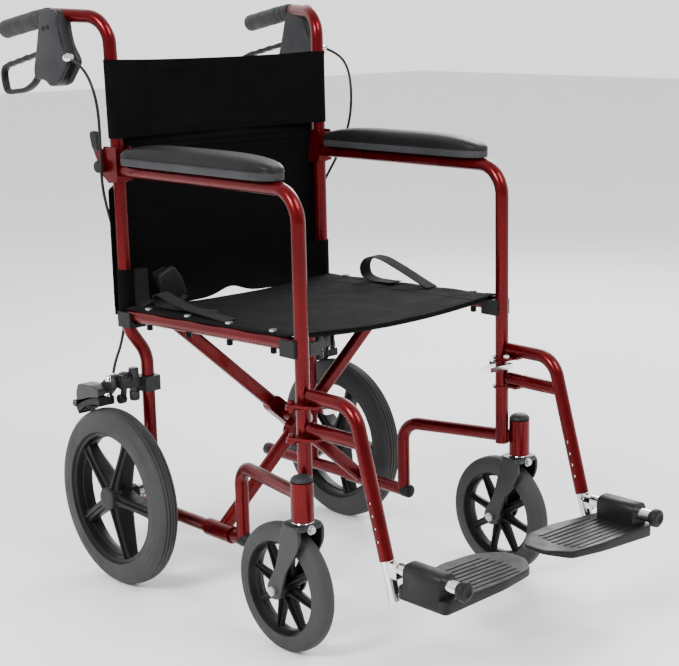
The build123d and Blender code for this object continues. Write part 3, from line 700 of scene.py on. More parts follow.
def forkPieces(side, sign):
    # blades and crown are outlines carried through their thickness, with rounded edges
    x = sign * casterX
    body = f"caster_swivel_{side}"
    blade = roundedOutline([
        (stemY - 19, 213), (stemY + 10, 214), (stemY + 23, 205), (stemY + 27, 178), (stemY + 37, 140),
        (casterY + 17, casterRadius + 5), (casterY + 13, casterRadius - 11), (casterY - 2, casterRadius - 16),
        (casterY - 15, casterRadius - 8), (stemY + 14, 136), (stemY - 8, 165), (stemY - 20, 186),
    ], 12, 7)
    blade = evenly(blade, 110)
    blades = [plateGrid(blade, x + offset, fork["bladeT"], 1.6, centre=(stemY + 12, 165))
              for offset in (-fork["bladeX"], fork["bladeX"])]
    piece = makePiece(f"forkBlades_{side}", blades, "blackPaint", body, closeV=True)
    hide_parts(f"caster_fork_{side}")
    crown = evenly(roundedOutline([
        (x - 25, stemY - 19), (x + 25, stemY - 19), (x + 25, stemY + 20), (x + 16, stemY + 27),
        (x - 16, stemY + 27), (x - 25, stemY + 20)], 9), 90)
    plated(f"forkCrown_{side}", crown, fork["crownZ"], fork["crownT"], 2.4, "blackPaint", body, axis=2)
    ring = [(214.2, 9), (214.2, 16.4), (215.4, 17), (216.4, 16.4), (216.4, 9)]
    turned(f"forkBearing_{side}", ring, (x, stemY, 0), "chrome", body, axis=2, count=48, closeV=True)
    bolt = [(-24.5, 0), (-24.5, 4.4), (-23.8, 5.1), (-19.5, 5.4), (-19.5, 7.2), (-18.2, 7.4), (-17, 7), (-17, 0)]
    turned(f"crownBolt_{side}", bolt, (x, stemY, 206), "zinc", body, axis=1, count=32)


bothSides(wheelPieces, casterPieces, forkPieces)
print("wheels made")

# arm pads
pad = {"half": 26.0, "bottom": armZ + 11, "band": 12.5, "top": 35.5}


def armPad(side, sign):
    # half height = crown * sin(t) ^ 0.55 over a plan whose half width falls as (1 - |v| ^ power) ^ (1 / 2.2)
    low, high = corners(f"arm_pad_{side}")
    x = sign * postX
    count = 150
    v = np.linspace(-1, 1, count)
    y = (low[1] + high[1]) / 2 + v * (high[1] - low[1]) / 2
    # the plan: full width, drawn in like a superellipse, round in front and squarer behind
    power = np.where(v < 0, 9.0, 16.0)
    plan = np.clip(1 - np.abs(v) ** power, 0, 1) ** (1 / 2.2)
    t = np.linspace(0, pi, 44)
    crown = pad["top"] - pad["band"]
    ends = np.clip(1 - np.abs(v) ** 3.7, 0, 1) ** 0.5
    across = np.sign(np.cos(t)) * np.abs(np.cos(t)) ** 0.62 * pad["half"] * plan[:, None]
    wrinkle = 0.35 * np.sin(y / 9.0 + 2 * sign)[:, None] * np.abs(np.cos(t)) ** 3
    rise = pad["band"] + (crown * np.sin(t) ** 0.55) * ends[:, None] + wrinkle * np.sin(t)
    top = np.stack([x + across, np.broadcast_to(y[:, None], across.shape), pad["bottom"] + rise], -1)
    under = top[:, ::-1].copy()
    under[..., 2] = pad["bottom"] + pad["band"] - 0.6
    cover = np.concatenate([top, under[:, 1:-1]], 1)
    piece = makePiece(f"armPadCover_{side}", cover, "padTop", f"frame_{side}", closeV=True, sharp=60)
    # side band: the same plan, a little fuller half way up, with a turned-in lower edge
    a = np.linspace(-1, 1, 14)
    bulge = 1.0 - 0.035 * np.abs(a) ** 3
    ring = np.concatenate([
        np.stack([plan * pad["half"], y], 1), np.stack([-plan[::-1] * pad["half"], y[::-1]], 1)])
    middleY = (low[1] + high[1]) / 2
    rows = [np.stack([x + ring[:, 0] * b, middleY + (ring[:, 1] - middleY) * (1 - (1 - b) * 0.13),
                      np.full(len(ring), pad["bottom"] + pad["band"] / 2 * (1 + h))], -1)
            for b, h in zip(bulge, a)]
    rows = [np.stack([x + ring[:, 0] * 0.02, ring[:, 1] * 0 + middleY + (ring[:, 1] - middleY) * 0.9,
                      np.full(len(ring), pad["bottom"])], -1)] + rows
    rows = rows + [np.stack([x + ring[:, 0] * 0.9, ring[:, 1], np.full(len(ring), pad["bottom"] + pad["band"])], -1)]
    piece = makePiece(f"armPadBand_{side}", np.array(rows), "padBand", f"frame_{side}",
                      closeV=True, sharp=60)
    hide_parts(f"arm_pad_{side}")
    seam = np.stack([x + ring[:, 0] * 1.005, ring[:, 1], np.full(len(ring), pad["bottom"] + pad["band"] + 0.2)], -1)
    keep = np.concatenate([[True], np.linalg.norm(np.diff(seam, axis=0), axis=1) > 0.05])
    makePiece(f"armPadSeam_{side}", sweptGrid(seam[keep], roundSection(0.9, 8), (0, 0, 1), closed=True), "padTop",
              f"frame_{side}", closeU=True, closeV=True)


bothSides(armPad)
print("arm pads made")

# seat and back
seatSize = {"frontZ": 476.0, "rearZ": 462.0, "half": 225.0, "sag": 8.0, "hem": 24.0, "seam": 52.0, "thick": 2.6,
            "screw": 49.0, "pitch": 107.0}


def railZ(y):
    # height of the seat rail's axis: a straight line from the front post to the rear post
    slope = (seatSize["rearZ"] - seatSize["frontZ"]) / (rearY - frontY)
    return seatSize["frontZ"] + slope * (y - frontY)


def blendAcross(piece):
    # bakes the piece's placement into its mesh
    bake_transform(piece)


def seatCloth():
    # height = rail height - sag * (1 - share ^ 2), plus pull lines, a hem and seams as small ripples
    low, high = corners("seat_sling")
    u = np.linspace(-1, 1, 181)
    v = np.linspace(0, 1, 141)
    x = u * seatSize["half"]
    y = low[1] + v * (high[1] - low[1])
    gridX, gridY = np.meshgrid(x, y, indexing="ij")
    inner = np.clip(np.abs(gridX) / (postX - 11), 0, 1)
    # sag: a parabola across, deepest at the free front and rear hems
    slack = 0.75 + 0.6 * np.exp(-(gridY - low[1]) / 40) + 0.35 * np.exp(-(high[1] - gridY) / 40)
    z = railZ(gridY) + 11.9 - seatSize["sag"] * slack * (1 - inner**2)
    # pull lines from the screws, a raised hem and two seams along the rails
    betweenScrews = (gridY - low[1] - seatSize["screw"]) / seatSize["pitch"] * 2 * pi
    pull = 0.9 * np.exp(-((np.abs(gridX) - 205) / 26) ** 2) * np.cos(betweenScrews)
    z = z + pull * (inner < 1)
    z = z + 0.7 * (1 - smoothStep(gridY, low[1] + seatSize["hem"] - 2, low[1] + seatSize["hem"]))
    z = z - 1.1 * np.exp(-((np.abs(gridX) - (postX - seatSize["seam"])) / 1.6) ** 2)
    z = z + 0.6 * np.sin(gridX / 37 + gridY / 53) * np.sin(gridY / 61 - gridX / 90) * (1 - inner**4)
    edge = np.abs(gridX) > postX + 1
    gridX = gridX + np.where(edge, 1.3 * np.sin(gridY / 17.0), 0) * np.sign(gridX)
    drop = (np.abs(gridX) - postX) * 0.28 + 0.8 * np.cos(betweenScrews) - 0.6
    z = z - np.where(edge, drop, 0)
    cloth = np.stack([gridX, gridY, z], -1)
    piece = makePiece("seatCloth", cloth, "seatCloth", None, uv=np.stack([gridX, gridY], -1), sharp=60)
    skin = piece.modifiers.new("thickness", "SOLIDIFY")
    skin.thickness, skin.offset = seatSize["thick"] / 1000, 1
    blendAcross(piece)
    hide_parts("seat_sling")
    # turned-under front hem: a flat loop of cloth that follows the front edge
    place = np.linspace(-1, 1, 120)
    hx = place * (postX - 14)
    sagAt = railZ(low[1]) + 11.2 - seatSize["sag"] * 1.35 * (1 - (hx / (postX - 11)) ** 2)
    path = np.stack([hx, np.full(120, low[1] + 6.0), sagAt - 1.6], -1)
    piece = makePiece("seatHem", sweptGrid(path, boxSection(12, 6.4, 2.6), (0, 1, 0), scale=endScale(120, 0.02)),
                      "seatCloth", None, closeV=True,
                      uv=np.stack(np.meshgrid(hx, np.linspace(0, 34, 28), indexing="ij"), -1))
    blendAcross(piece)


seatCloth()

backSize = {"top": 881.0, "split": 755.0, "lowTop": 760.0, "bandTop": 539.0, "bandLow": 472.0,
            "seam": 66.0, "wrap": 12.8, "ripple": 1.2, "bow": 8.0, "lean": 4.0}


def sleevedPanel(name, zLow, zHigh, body, count=90):
    # a closed bag: front and rear faces bulge round the tubes, r = sqrt(wrap^2 - d^2) near a tube's
    # axis, and run down straight to meet at a seam; between the seams they are one thin panel
    seamIn, wrap, ripple, bow, lean = (backSize[key] for key in ("seam", "wrap", "ripple", "bow", "lean"))
    share = np.cos(np.linspace(0, 1, 300) * pi)
    share = np.sign(share) * np.abs(share) ** 0.8
    z = np.linspace(zLow, zHigh, count)
    gridS, gridZ = np.meshgrid(share, z, indexing="ij")
    tubeX = postX + lean * np.clip((gridZ - 704) / 244, 0, 1)
    outer = tubeX + wrap
    gridX = gridS * outer
    away = tubeX - np.abs(gridX)                          # distance inboard of the tube's axis
    roundPart = np.sqrt(np.clip(wrap**2 - np.minimum(away, 0) ** 2, 0, None))
    taper = np.clip(1 - away / seamIn, 0, 1)
    bag = np.where(away <= 0, roundPart, 1.1 + (wrap - 1.1) * taper**1.6)
    bag = np.where(away > seamIn, 1.1, bag)
    curve = bow * (1 - np.clip(np.abs(gridX) / (postX - seamIn), 0, 1) ** 2)
    folds = ripple * np.sin(gridZ / 5.2 + np.abs(gridX) / 60) * np.exp(-((gridZ - zLow) / 26) ** 2) * (away > seamIn)
    sagTop = -3.5 * (1 - (gridX / postX) ** 2) * np.clip((gridZ - zLow) / (zHigh - zLow), 0, 1) ** 6
    centre = rearY + (tubeX - postX) * 0.75 + curve + folds + 0.5 * np.sin(gridX / 44 + gridZ / 39)
    hem = 0.7 * (np.abs(gridZ - (zHigh - 12)) < 10) * (away > seamIn)
    front = np.stack([gridX, centre - bag - hem, gridZ + sagTop], -1)
    rear = np.stack([gridX, centre + bag + hem, gridZ + sagTop], -1)
    loop = np.concatenate([front, rear[::-1][1:-1]], 0)
    run = np.concatenate([gridX, (2 * outer - gridX)[::-1][1:-1]], 0)
    uv = np.stack([run, np.broadcast_to(z, run.shape)], -1)
    rows = np.transpose(loop, (1, 0, 2))
    return makePiece(name, rows, "nylon", body, closeV=True, uv=np.transpose(uv, (1, 0, 2)), sharp=60)


upper = sleevedPanel("backUpperCloth", backSize["split"], backSize["top"], "handle_right")
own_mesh(upper)
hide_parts("back_upper")
lowBack = {"behind": 12.6, "bow": 8.0, "wide": 231.0, "narrow": 204.0, "step": (668.0, 690.0)}


def lowBackY(x, z):
    # behind the posts at its edges and bowed a little backwards between them
    return rearY + lowBack["behind"] + lowBack["bow"] * (1 - (x / lowBack["wide"]) ** 2) - 8 * smoothStep(z, 690, 750)


def lowerBack():
    # a sheet bowed by a parabola, narrower above the bands, with pleats that are narrow bell curves in z
    u = np.linspace(-1, 1, 170)
    v = np.linspace(0, 1, 190)
    gridU, gridV = np.meshgrid(u, v, indexing="ij")
    gridZ = 462 + (backSize["lowTop"] - 462) * gridV
    half = lowBack["wide"] + (lowBack["narrow"] - lowBack["wide"]) * smoothStep(gridZ, *lowBack["step"])
    gridX = gridU * half
    # the hem lifts a little near the middle
    gridZ = gridZ + 14 * np.exp(-(((gridX - 17) / 34) ** 2)) * (1 - gridV) ** 8
    inner = np.abs(gridU)
    pleat = 3.2 * np.exp(-((gridZ - 744) / 3.0) ** 2) + 2.6 * np.exp(-((gridZ - 733) / 3.2) ** 2)
    pleat = (pleat + 1.6 * np.exp(-((gridZ - 722) / 3.5) ** 2)) * (1 - inner**6)
    hem = 0.9 * (gridV < 0.045)
    wave = 1.2 * np.sin(gridX / 52 + 0.4) * np.sin(gridZ / 71) + 0.7 * np.sin(gridX / 23 + gridZ / 45)
    gridY = lowBackY(gridX, gridZ) - pleat - hem + wave * (1 - inner**2)
    piece = makePiece("backLowerCloth", np.stack([gridX, gridY, gridZ], -1), "nylon", "frame_right",
                      uv=np.stack([gridX, gridZ], -1), sharp=60)
    skin = piece.modifiers.new("thickness", "SOLIDIFY")
    skin.thickness, skin.offset = 0.0022, 0
    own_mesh(piece)
    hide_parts("back_lower")


def postBand(side, sign):
    # round the post like a tube, then straight to a seam on the back panel
    angle = np.radians(np.linspace(-118, 92, 60))
    wrapped = np.stack([postX + 12.7 * np.cos(angle), rearY + 12.7 * np.sin(angle)], 1)
    seam = postX - 56
    y = lowBackY(seam, 500.0) - 1.4
    back = np.stack([np.linspace(postX - 2, seam, 20), np.linspace(rearY + 13.4, y + 1.6, 20)], 1)
    front = np.stack([np.linspace(seam, postX - 7, 24), np.linspace(y - 0.4, rearY - 11.2, 24)], 1)
    ring = np.vstack([wrapped, back, front])
    z = np.linspace(backSize["bandLow"] - 6, backSize["bandTop"], 40)
    fullness = 1 + 0.010 * np.sin(z / 6.0)
    gridX = sign * (postX + (ring[:, 0] - postX)[None] * fullness[:, None])
    gridY = rearY + (ring[:, 1] - rearY)[None] * fullness[:, None]
    grid = np.stack([gridX, gridY, np.broadcast_to(z[:, None], gridX.shape)], -1)
    lids = [grid[:1].mean(1, keepdims=True) + (grid[:1] - grid[:1].mean(1, keepdims=True)) * 0.9,
            grid[-1:].mean(1, keepdims=True) + (grid[-1:] - grid[-1:].mean(1, keepdims=True)) * 0.9]
    run = np.concatenate([[0], np.cumsum(np.linalg.norm(np.diff(ring, axis=0), axis=1))])
    uv = np.stack(np.meshgrid(np.zeros(42), run, indexing="ij")[::-1], -1)
    uv[..., 1] = np.concatenate([z[:1], z, z[-1:]])[:, None]
    band = np.concatenate([lids[0], grid, lids[1]])
    piece = makePiece(f"postBand_{side}", band, "nylon", "frame_right", closeV=True, uv=uv, sharp=60)
    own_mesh(piece)


bothSides(postBand)
lowerBack()
print("seat and back made")

# seat belt
belt = {"half": 12.5, "thick": 1.7}


def strap(name, points, across, body, count=140):
    # a flat ribbon carried along a smooth path; its width lies along the across direction
    path = smoothPath(points, count)
    section = boxSection(belt["half"] * 2, belt["thick"], 8, 24)
    grid = sweptGrid(path, section, across)
    ends = [grid[row][None].mean(1, keepdims=True) + 0 * grid[row][None] for row in (0, -1)]
    grid = np.concatenate([ends[0], grid, ends[1]])
    run = np.concatenate([[0], np.cumsum(np.linalg.norm(np.diff(path, axis=0), axis=1))])
    uv = np.stack(np.meshgrid(np.concatenate([[0], run, run[-1:]]), np.linspace(0, 50, 24), indexing="ij"), -1)
    piece = makePiece(name, grid, "webbing", body, closeV=True, uv=uv, sharp=50)
    return piece


def seatTop(y):
    # height at which a strap lies on the seat cloth over the rail
    return railZ(y) + 15.2


rightBelt = [(-206, frontY + 184, 1), (-203, frontY + 240, 5), (-199, frontY + 300, 9), (-197, frontY + 350, 18),
             (-195, frontY + 378, 24), (-193, frontY + 392, 18), (-192, frontY + 384, 5), (-190, frontY + 350, 2.5),
             (-187, frontY + 300, 3), (-184, frontY + 250, 4)]
leftBelt = [(203, frontY + 150, 1), (204, frontY + 172, 8), (205, frontY + 205, 20), (206, frontY + 240, 32),
            (207, frontY + 275, 42), (207, frontY + 305, 42), (207, frontY + 322, 28), (206, frontY + 318, 10),
            (204, frontY + 296, 3), (202, frontY + 262, 2), (200, frontY + 235, 3)]
for name, route, body in (("beltRight", rightBelt, "brace_rear"), ("beltLeft", leftBelt, "brace_front")):
    piece = strap(name, [(x, y, seatTop(y) + lift) for x, y, lift in route], (1, 0, 0.05), body)
    if body == "brace_rear":
        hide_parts("seat_belt")
buckleStraps = (
    ("beltTailA", [(-197, 224, 1), (-196, 236, 4), (-194, 243, 24), (-192, 247, 60)]),
    ("beltTailB", [(-128, 214, 1), (-134, 230, 3), (-146, 240, 22), (-158, 245, 54)]),
)
for name, route in buckleStraps:
    strap(name, [(x, y, seatTop(y) + lift) for x, y, lift in route], (0.9, -0.2, 0.4), "brace_rear", 60)
buckle = evenly(roundedOutline([(-20, -30), (20, -30), (23, 0), (17, 26), (-17, 26), (-23, 0)], 7), 90)
grid = plateGrid(buckle, 0, 11, 3.4, axis=1, crown=1.5, centre=(0, 0))
turn = radians(24)
grid = np.stack([grid[..., 0] * cos(turn) - grid[..., 2] * sin(turn), grid[..., 1],
                 grid[..., 0] * sin(turn) + grid[..., 2] * cos(turn)], -1) + np.array([-142, 233, seatTop(233) + 30])
makePiece("beltBuckle", grid, "blackPlastic", "brace_rear", closeV=True)
print("seat belt made")

# push handles
handle = {"bendY": rearY + 108, "bendZ": 953.0, "bendX": postX + 39, "tip": (postX + 47, rearY + 248, 929.0)}
housing = {"top": handle["bendZ"] + 16, "width": 32.0, "pin": (handle["bendY"] + 34, handle["bendZ"] - 80)}


def handGrip(side, sign):
    # a ring carried along the cane's end, its radius a function of the distance along it
    start = np.array([sign * handle["bendX"], handle["bendY"], handle["bendZ"]])
    end = np.array([sign * handle["tip"][0], *handle["tip"][1:]])
    axis = unit(end - start)
    count = 200
    along = np.linspace(8, np.linalg.norm(end - start) + 4, count)
    # radius: a wrinkled collar near the brake, a plain palm stretch, and a rounded closed tip
    collar = 1 - smoothStep(along, 34, 52)
    radius = 15.4 + 0.9 * np.sin(along / 2.3) * collar - 1.6 * collar * smoothStep(-along, -60, -24)
    radius = radius + 0.35 * np.sin((along - 50) / 6.0) * (1 - collar) * 0.4
    left = np.clip((along[-1] - along) / 9, 0, 1)
    radius = radius * (1 - (1 - left) ** 3) ** (1 / 3)
    radius[0] = 0
    ring = roundSection(1, 64)
    ring = ring * (1 + 0.012 * np.sin(np.arange(64) / 64 * 2 * pi * 16))[:, None]
    path = start + axis * along[:, None]
    path[0] = path[1]
    path = path + np.linspace(0, 1e-3, count)[:, None] * axis
    grid = sweptGrid(path, np.broadcast_to(ring, (count, 64, 2)), scale=radius)
    piece = makePiece(f"handGrip_{side}", grid, "grip", f"handle_{side}", closeV=True)
    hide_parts(f"hand_grip_{side}")


def releaseTip(side, sign):
    # the lever's plastic end is a plate with rounded edges, and its pivot knob a turned profile
    y, z = rearY + 21, 709.0
    tip = evenly(roundedOutline([
        (y + 2, z + 24), (y + 22, z + 26), (y + 29, z + 54), (y + 20, z + 58), (y + 6, z + 56)], 8), 70)
    plated(f"releaseTip_{side}", tip, sign * (postX + 18), 9.5, 3.4, "blackPlastic", f"back_release_{side}")
    knob = [(sign * 20.4, 0), (sign * 20.4, 9.4), (sign * 22, 10.2), (sign * 27, 10.2), (sign * 29.0, 8.8),
            (sign * 29.6, 0)]
    turned(f"releaseKnob_{side}", knob, (sign * postX, y, z), "blackPlastic", f"back_release_{side}", count=36)


def brakeHandle(side, sign):
    # two crowned cheeks on a spine, and a lever that is a section carried round a closed loop
    x = sign * (handle["bendX"] + 5)
    y0, top = handle["bendY"], housing["top"]
    shell = evenly(roundedOutline([
        (y0 - 35, top - 16), (y0 - 26, top - 6), (y0 + 4, top - 8), (y0 + 14, top - 26), (y0 + 20, top - 50),
        (y0 + 28, top - 76), (y0 + 38, top - 104), (y0 + 36, top - 120), (y0 + 12, top - 121),
        (y0 + 2, top - 123), (y0 - 10, top - 132), (y0 - 32, top - 127), (y0 - 64, top - 94),
        (y0 - 62, top - 84), (y0 - 44, top - 62), (y0 - 38, top - 40)], 9, 8), 150)
    half = housing["width"] / 2
    cheeks = [plateGrid(shell, x + offset, 9.5, 3.2, crown=1.2, centre=(y0 - 8, top - 75))
              for offset in (-half + 4.7, half - 4.7)]
    piece = makePiece(f"brakeShell_{side}", cheeks, "greyPlastic", f"handle_{side}", closeV=True)
    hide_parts(f"brake_housing_{side}")
    spine = evenly(roundedOutline([
        (y0 - 32, top - 14), (y0 - 25, top - 7), (y0 + 2, top - 9), (y0 + 11, top - 30), (y0 + 16, top - 64),
        (y0 + 4, top - 74), (y0 - 2, top - 122), (y0 - 10, top - 133), (y0 - 32, top - 124), (y0 - 58, top - 88),
        (y0 - 47, top - 58)], 10, 8), 120)
    plated(f"brakeSpine_{side}", spine, x, housing["width"] - 12, 2, "blackPlastic", f"handle_{side}",
           centre=(y0 - 25, top - 80))
    # two screw wells on the outer cheek
    for number, (wy, wz) in enumerate(((y0 - 2, top - 38), (y0 - 15, top - 36))):
        well = [(sign * (half - 0.5), 0), (sign * (half + 0.2), 2.1), (sign * (half + 2.0), 3.0),
                (sign * (half + 1.8), 3.8), (sign * (half - 1.0), 4.2)]
        turned(f"brakeScrew{number}_{side}", well, (x, wy, wz), "blackPlastic", f"handle_{side}", count=24)
    ferrule = [(0, 0), (0, 6.0), (-2, 7.4), (-6, 7.4), (-7.5, 5.6), (-9, 5.4), (-10, 6.6), (-13, 6.6), (-14.5, 4.4),
               (-18, 3.6), (-18, 0)]
    turned(f"cableFerrule_{side}", ferrule, (sign * 272, rearY + 52, top - 84), "chrome", f"handle_{side}",
           axis=1, count=32)
    # lever: a closed loop, its inner edge waved for the fingers
    loop = smoothPath([
        (y0 + 20, top - 78), (y0 + 66, top - 84), (y0 + 110, top - 93), (y0 + 146, top - 101), (y0 + 158, top - 111),
        (y0 + 157, top - 130), (y0 + 148, top - 144), (y0 + 118, top - 143), (y0 + 88, top - 139),
        (y0 + 62, top - 128), (y0 + 44, top - 114), (y0 + 22, top - 108)], 220, closed=True)
    path = np.stack([np.full(220, x), loop[:, 0], loop[:, 1]], -1)
    thick = 8.6 + 1.1 * np.sin(loop[:, 0] / 4.1) * (loop[:, 1] > top - 105) * (loop[:, 0] > y0 + 60)
    base = boxSection(2, 2, 3.4, 28)
    section = base[None] * np.stack([np.full(220, 6.4), thick / 2], 1)[:, None]
    piece = makePiece(f"brakeLoop_{side}", sweptGrid(path, section, closed=True), "blackPlastic",
                      f"brake_lever_{side}", closeU=True, closeV=True)
    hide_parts(f"brake_lever_{side}")


bothSides(handGrip, releaseTip, brakeHandle)
print("push handles made")

# brake cables
# the same points as the CAD model's route: x on the left side, y behind the rear post, z
cableRoute = [
    (272, 37, 883), (275, 4, 874), (274, -21, 848), (271, -31, 810), (269, -30, 768), (264, -21, 728),
    (255, -6, 690), (241, 9, 654), (225, 19, 616), (211, 24, 576), (204, 25, 533), (203, 23, 490),
    (208, 20, 448), (219, 17, 410), (236, 15, 379), (240.5, 14, 362.5),
]


def brakeCable(side, sign):
    # a smooth NURBS line through the route's points, swept as a round tube
    data = bpy.data.curves.new(f"cableLine_{side}", "CURVE")
    data.dimensions = "3D"
    data.bevel_depth = 0.0024
    data.bevel_resolution = 4
    data.use_fill_caps = True
    line = data.splines.new("NURBS")
    line.points.add(len(cableRoute) - 1)
    values = np.array([(sign * x, rearY + y, z, 1000) for x, y, z in cableRoute]) / 1000
    line.points.foreach_set("co", values.ravel())
    line.order_u = 3
    line.use_endpoint_u = True
    line.resolution_u = 12
    drawn = bpy.data.objects.new(f"cableLine_{side}", data)
    bpy.context.collection.objects.link(drawn)
    bpy.context.view_layer.update()
    mesh = bpy.data.meshes.new_from_object(drawn.evaluated_get(bpy.context.evaluated_depsgraph_get()))
    bpy.data.objects.remove(drawn)
    mesh.materials.clear()
    mesh.materials.append(looks["blackPlastic"])
    mesh.polygons.foreach_set("use_smooth", np.ones(len(mesh.polygons), bool))
    cable = bpy.data.objects.new(f"brakeCable_{side}", mesh)
    bpy.context.collection.objects.link(cable)
    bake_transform(cable)
    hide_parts(f"brake_cable_{side}")


bothSides(brakeCable)
print("brake cables made")

# rear brakes
brake = {"pin": (rearY + 14, 348.0), "gap": 4.0}


def overTyre(angle, rise):
    # the point at an angle behind the top of the rear wheel, rise above its tread
    radius = rearWheelRadius + rise
    return rearY + radius * sin(radians(angle)), rearWheelRadius + radius * cos(radians(angle))


def rearBrake(side, sign):
    # plates with rounded edges for the arm, shoe and channel, and turned profiles for the rest
    body = f"brake_arm_{side}"
    pinY, pinZ = brake["pin"]
    arm = evenly(roundedOutline([
        overTyre(31, 18), overTyre(20, 17), overTyre(9, 17), (pinY - 9, pinZ - 8), (pinY - 9, pinZ + 12),
        (pinY + 8, pinZ + 12), (pinY + 34, pinZ - 8), (pinY + 80, pinZ - 25), overTyre(34, 34)], 6), 90)
    piece = plated(f"brakeArm_{side}", arm, sign * 242, 9, 1.6, "blackPaint", body, centre=(pinY + 20, pinZ - 22))
    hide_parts(f"brake_arm_{side}")
    # shoe: an arc that follows the tyre, its face cut into teeth by a square-ish wave
    angle = np.linspace(7, 33, 180)
    teeth = 1.5 * np.tanh(3 * np.sin(np.radians(angle * 120)))
    low = np.array([overTyre(a, brake["gap"] + 1.6 + t) for a, t in zip(angle, teeth)])
    high = np.array([overTyre(a, brake["gap"] + 15) for a in angle])
    ring = np.vstack([low, high[::-1]])
    plated(f"brakeShoe_{side}", ring, sign * 252.5, 31, 0.6, "blackPlastic", body, centre=overTyre(20, 11))
    channel = evenly(roundedOutline([(pinY + 10, pinZ - 26), (pinY + 10, pinZ - 12), (pinY + 28, pinZ - 7),
                                     (pinY + 72, pinZ - 11), (pinY + 80, pinZ - 28), (pinY + 78, pinZ - 42),
                                     (pinY + 40, pinZ - 30)], 4), 90)
    plated(f"brakeChannel_{side}", channel, sign * 253, 27, 1.4, "blackPaint", body)
    for number, (by, bz, size) in enumerate(((pinY + 5, pinZ + 5, 5.6), (pinY + 13, pinZ - 25, 5.2))):
        bolt = [(sign * 4, 0), (sign * 4, size + 1.4), (sign * 5.4, size + 1.4), (sign * 5.6, size),
                (sign * 8.6, size), (sign * 10, size * 0.75), (sign * 10.4, 0)]
        turned(f"brakeBolt{number}_{side}", bolt, (sign * 242, by, bz), "chrome", body, count=24,
               slot="zinc_steel")
    roll = [(-17, 0), (-17, 5.2), (-16, 6.2), (16, 6.2), (17, 5.2), (17, 0)]
    turned(f"brakeRoll_{side}", roll, (sign * 253, pinY + 81, pinZ - 46), "blackPaint", body, count=32)
    # bracket by the post: an upright barrel, a domed disc and a small roller on the frame
    frameBody = f"frame_{side}"
    barrel = [(-28, 0), (-28, 7), (-26.5, 8.6), (-12, 9.2), (-11, 7.8), (11, 7.8), (12, 9.2), (27, 8.6),
              (28.5, 7), (28.5, 0)]
    turned(f"brakeBarrel_{side}", barrel, (sign * 207, rearY + 4, 340), "blackPaint", frameBody, axis=2, count=40)
    disc = [(-9, 0), (-9, 10.5), (-7, 13.5), (-2, 14.6), (3, 13.6), (7, 9.5), (9, 4.5), (9.6, 0)]
    turned(f"brakeDisc_{side}", disc, (sign * 223, rearY + 8, 354), "blackPaint", frameBody, axis=2, count=48)
    strut = evenly(roundedOutline([(rearY + 2, 352), (rearY + 14, 352), (rearY + 20, 314), (rearY + 10, 310)], 4), 60)
    plated(f"brakeStrut_{side}", strut, sign * 223, 6.5, 1.4, "blackPaint", frameBody)
    roller = [(sign * -8, 0), (sign * -8, 7.4), (sign * -6.5, 8.3), (sign * 3, 8.3), (sign * 4.4, 7.2),
              (sign * 4.4, 4.4), (sign * 2.6, 4.2), (sign * 2.6, 0)]
    turned(f"brakeRoller_{side}", roller, (sign * 229, rearY + 13, 316), "blackPlastic", frameBody, count=40)


bothSides(rearBrake)
print("rear brakes made")

# footplates
plate = {"top": 163.0, "edge": 2.4, "flipX": 214.0, "flipZ": 181.0}


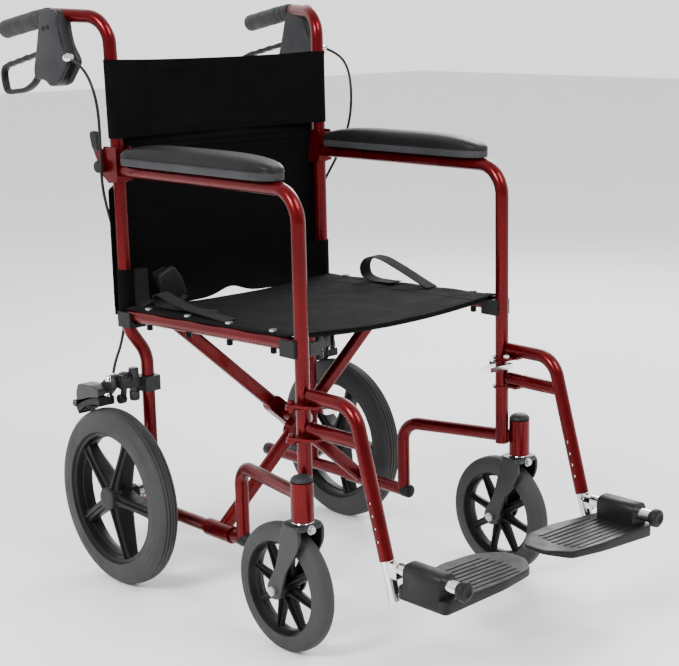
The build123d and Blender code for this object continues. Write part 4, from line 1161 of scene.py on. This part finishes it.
def footplate(side, sign):
    # the tread is a rounded outline carried through its thickness, with ribs swept across it
    body = f"footplate_{side}"
    rear, front = frontY - 222, frontY - 294
    tread = np.array([(231, rear + 12), (120, rear + 30), (60, rear + 26), (20, rear - 2), (20, front + 28),
                      (48, front - 6), (110, front - 14), (231, front - 14)], float)
    outline = evenly(roundedOutline(tread, 9, 8), 160)
    # slab: its underside rises towards the inner end
    grid = plateGrid(outline, plate["top"] - 8, 16, plate["edge"], axis=2, centre=(125, (rear + front) / 2))
    under = grid[..., 2] < plate["top"] - 8
    rise = np.interp(grid[..., 0], [20, 46, 150, 231], [9.5, 4.5, 0, -3.5])
    grid[..., 2] = np.where(under, grid[..., 2] + rise, grid[..., 2])
    grid[..., 0] *= sign
    slab = makePiece(f"footTread_{side}", grid, "blackPlastic", body, closeV=True)
    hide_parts(f"footplate_{side}")
    # raised ribs across the tread
    ribs = []
    for k in range(8):
        y = rear + 5 - k * 11.0
        ends = (52 + 3 * abs(k - 3.5), 190)
        path = np.stack([np.linspace(*ends, 30), np.full(30, y), np.full(30, plate["top"])], -1)
        rib = sweptGrid(path, boxSection(6.4, 2.6, 3.0, 16), (0, 1, 0), scale=endScale(30, 0.06))
        rib[..., 0] *= sign
        ribs.append(rib)
    makePiece(f"footRibs_{side}", ribs, "blackPlastic", body, closeV=True)
    # sleeve round the flip axle with a flat skirt on its outer side
    x = sign * plate["flipX"]
    z = plate["flipZ"]
    section = evenly(roundedOutline([(-17, -39), (17, -39), (17.5, 9), (10, 17), (-10, 17), (-17.5, 9)], 9, 8), 100)
    ys = [front, front + 0.01, front + 1.5, rear - 1.5, rear - 0.01, rear]
    shares = [0, 0.95, 1, 1, 0.95, 0]
    rows = [np.stack([x + section[:, 0] * s, np.full(100, y), z + section[:, 1] * s], -1) for y, s in zip(ys, shares)]
    makePiece(f"footSleeve_{side}", np.array(rows), "blackPlastic", body, closeV=True)
    axleBody = f"flip_axle_{side}"
    rod = [(rear + 21, 0), (rear + 21, 9.5), (front - 26, 10), (front - 26, 0)]
    piece = turned(f"flipRod_{side}", rod, (x, 0, z), "chrome", axleBody, axis=1, count=40)
    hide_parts(f"footplate_axle_{side}")
    cap = [(front - 24, 0), (front - 24, 11), (front - 29, 14.3), (front - 34, 14.5), (front - 37, 13.6),
           (front - 38.6, 11), (front - 38.8, 8), (front - 36.5, 5), (front - 36.2, 0)]
    turned(f"flipCap_{side}", cap, (x, 0, z), "blackPlastic", axleBody, axis=1, count=48)


bothSides(footplate)
print("footplates made")

# small hardware
trim = {"railFront": 190.0, "railRear": 586.0, "railZ": 118.0}


def hardware(side, sign):
    # end caps of the lower rail and the cap of the caster housing, each a profile turned about its tube
    body = f"frame_{side}"
    railLow, railHigh = frontY + trim["railFront"], frontY + trim["railRear"]
    for number, (y, way) in enumerate(((railLow, -1), (railHigh, 1))):
        cap = [(y - way * 14, 11.15), (y - way * 14, 11.8), (y + way * 1, 12.0), (y + way * 3, 11),
               (y + way * 4.2, 8), (y + way * 4.5, 0)]
        turned(f"railCap{number}_{side}", cap, (sign * railX, 0, trim["railZ"]), "blackPlastic", body, axis=1,
               count=40)
    crown = [(277, 14.8), (279, 17.2), (282, 16.6), (285.5, 13), (287.5, 7), (288, 0)]
    turned(f"stemCap_{side}", crown, (sign * casterX, stemY, 0), "greyPlastic", body, axis=2, count=48)


bothSides(hardware)
print("small hardware made")
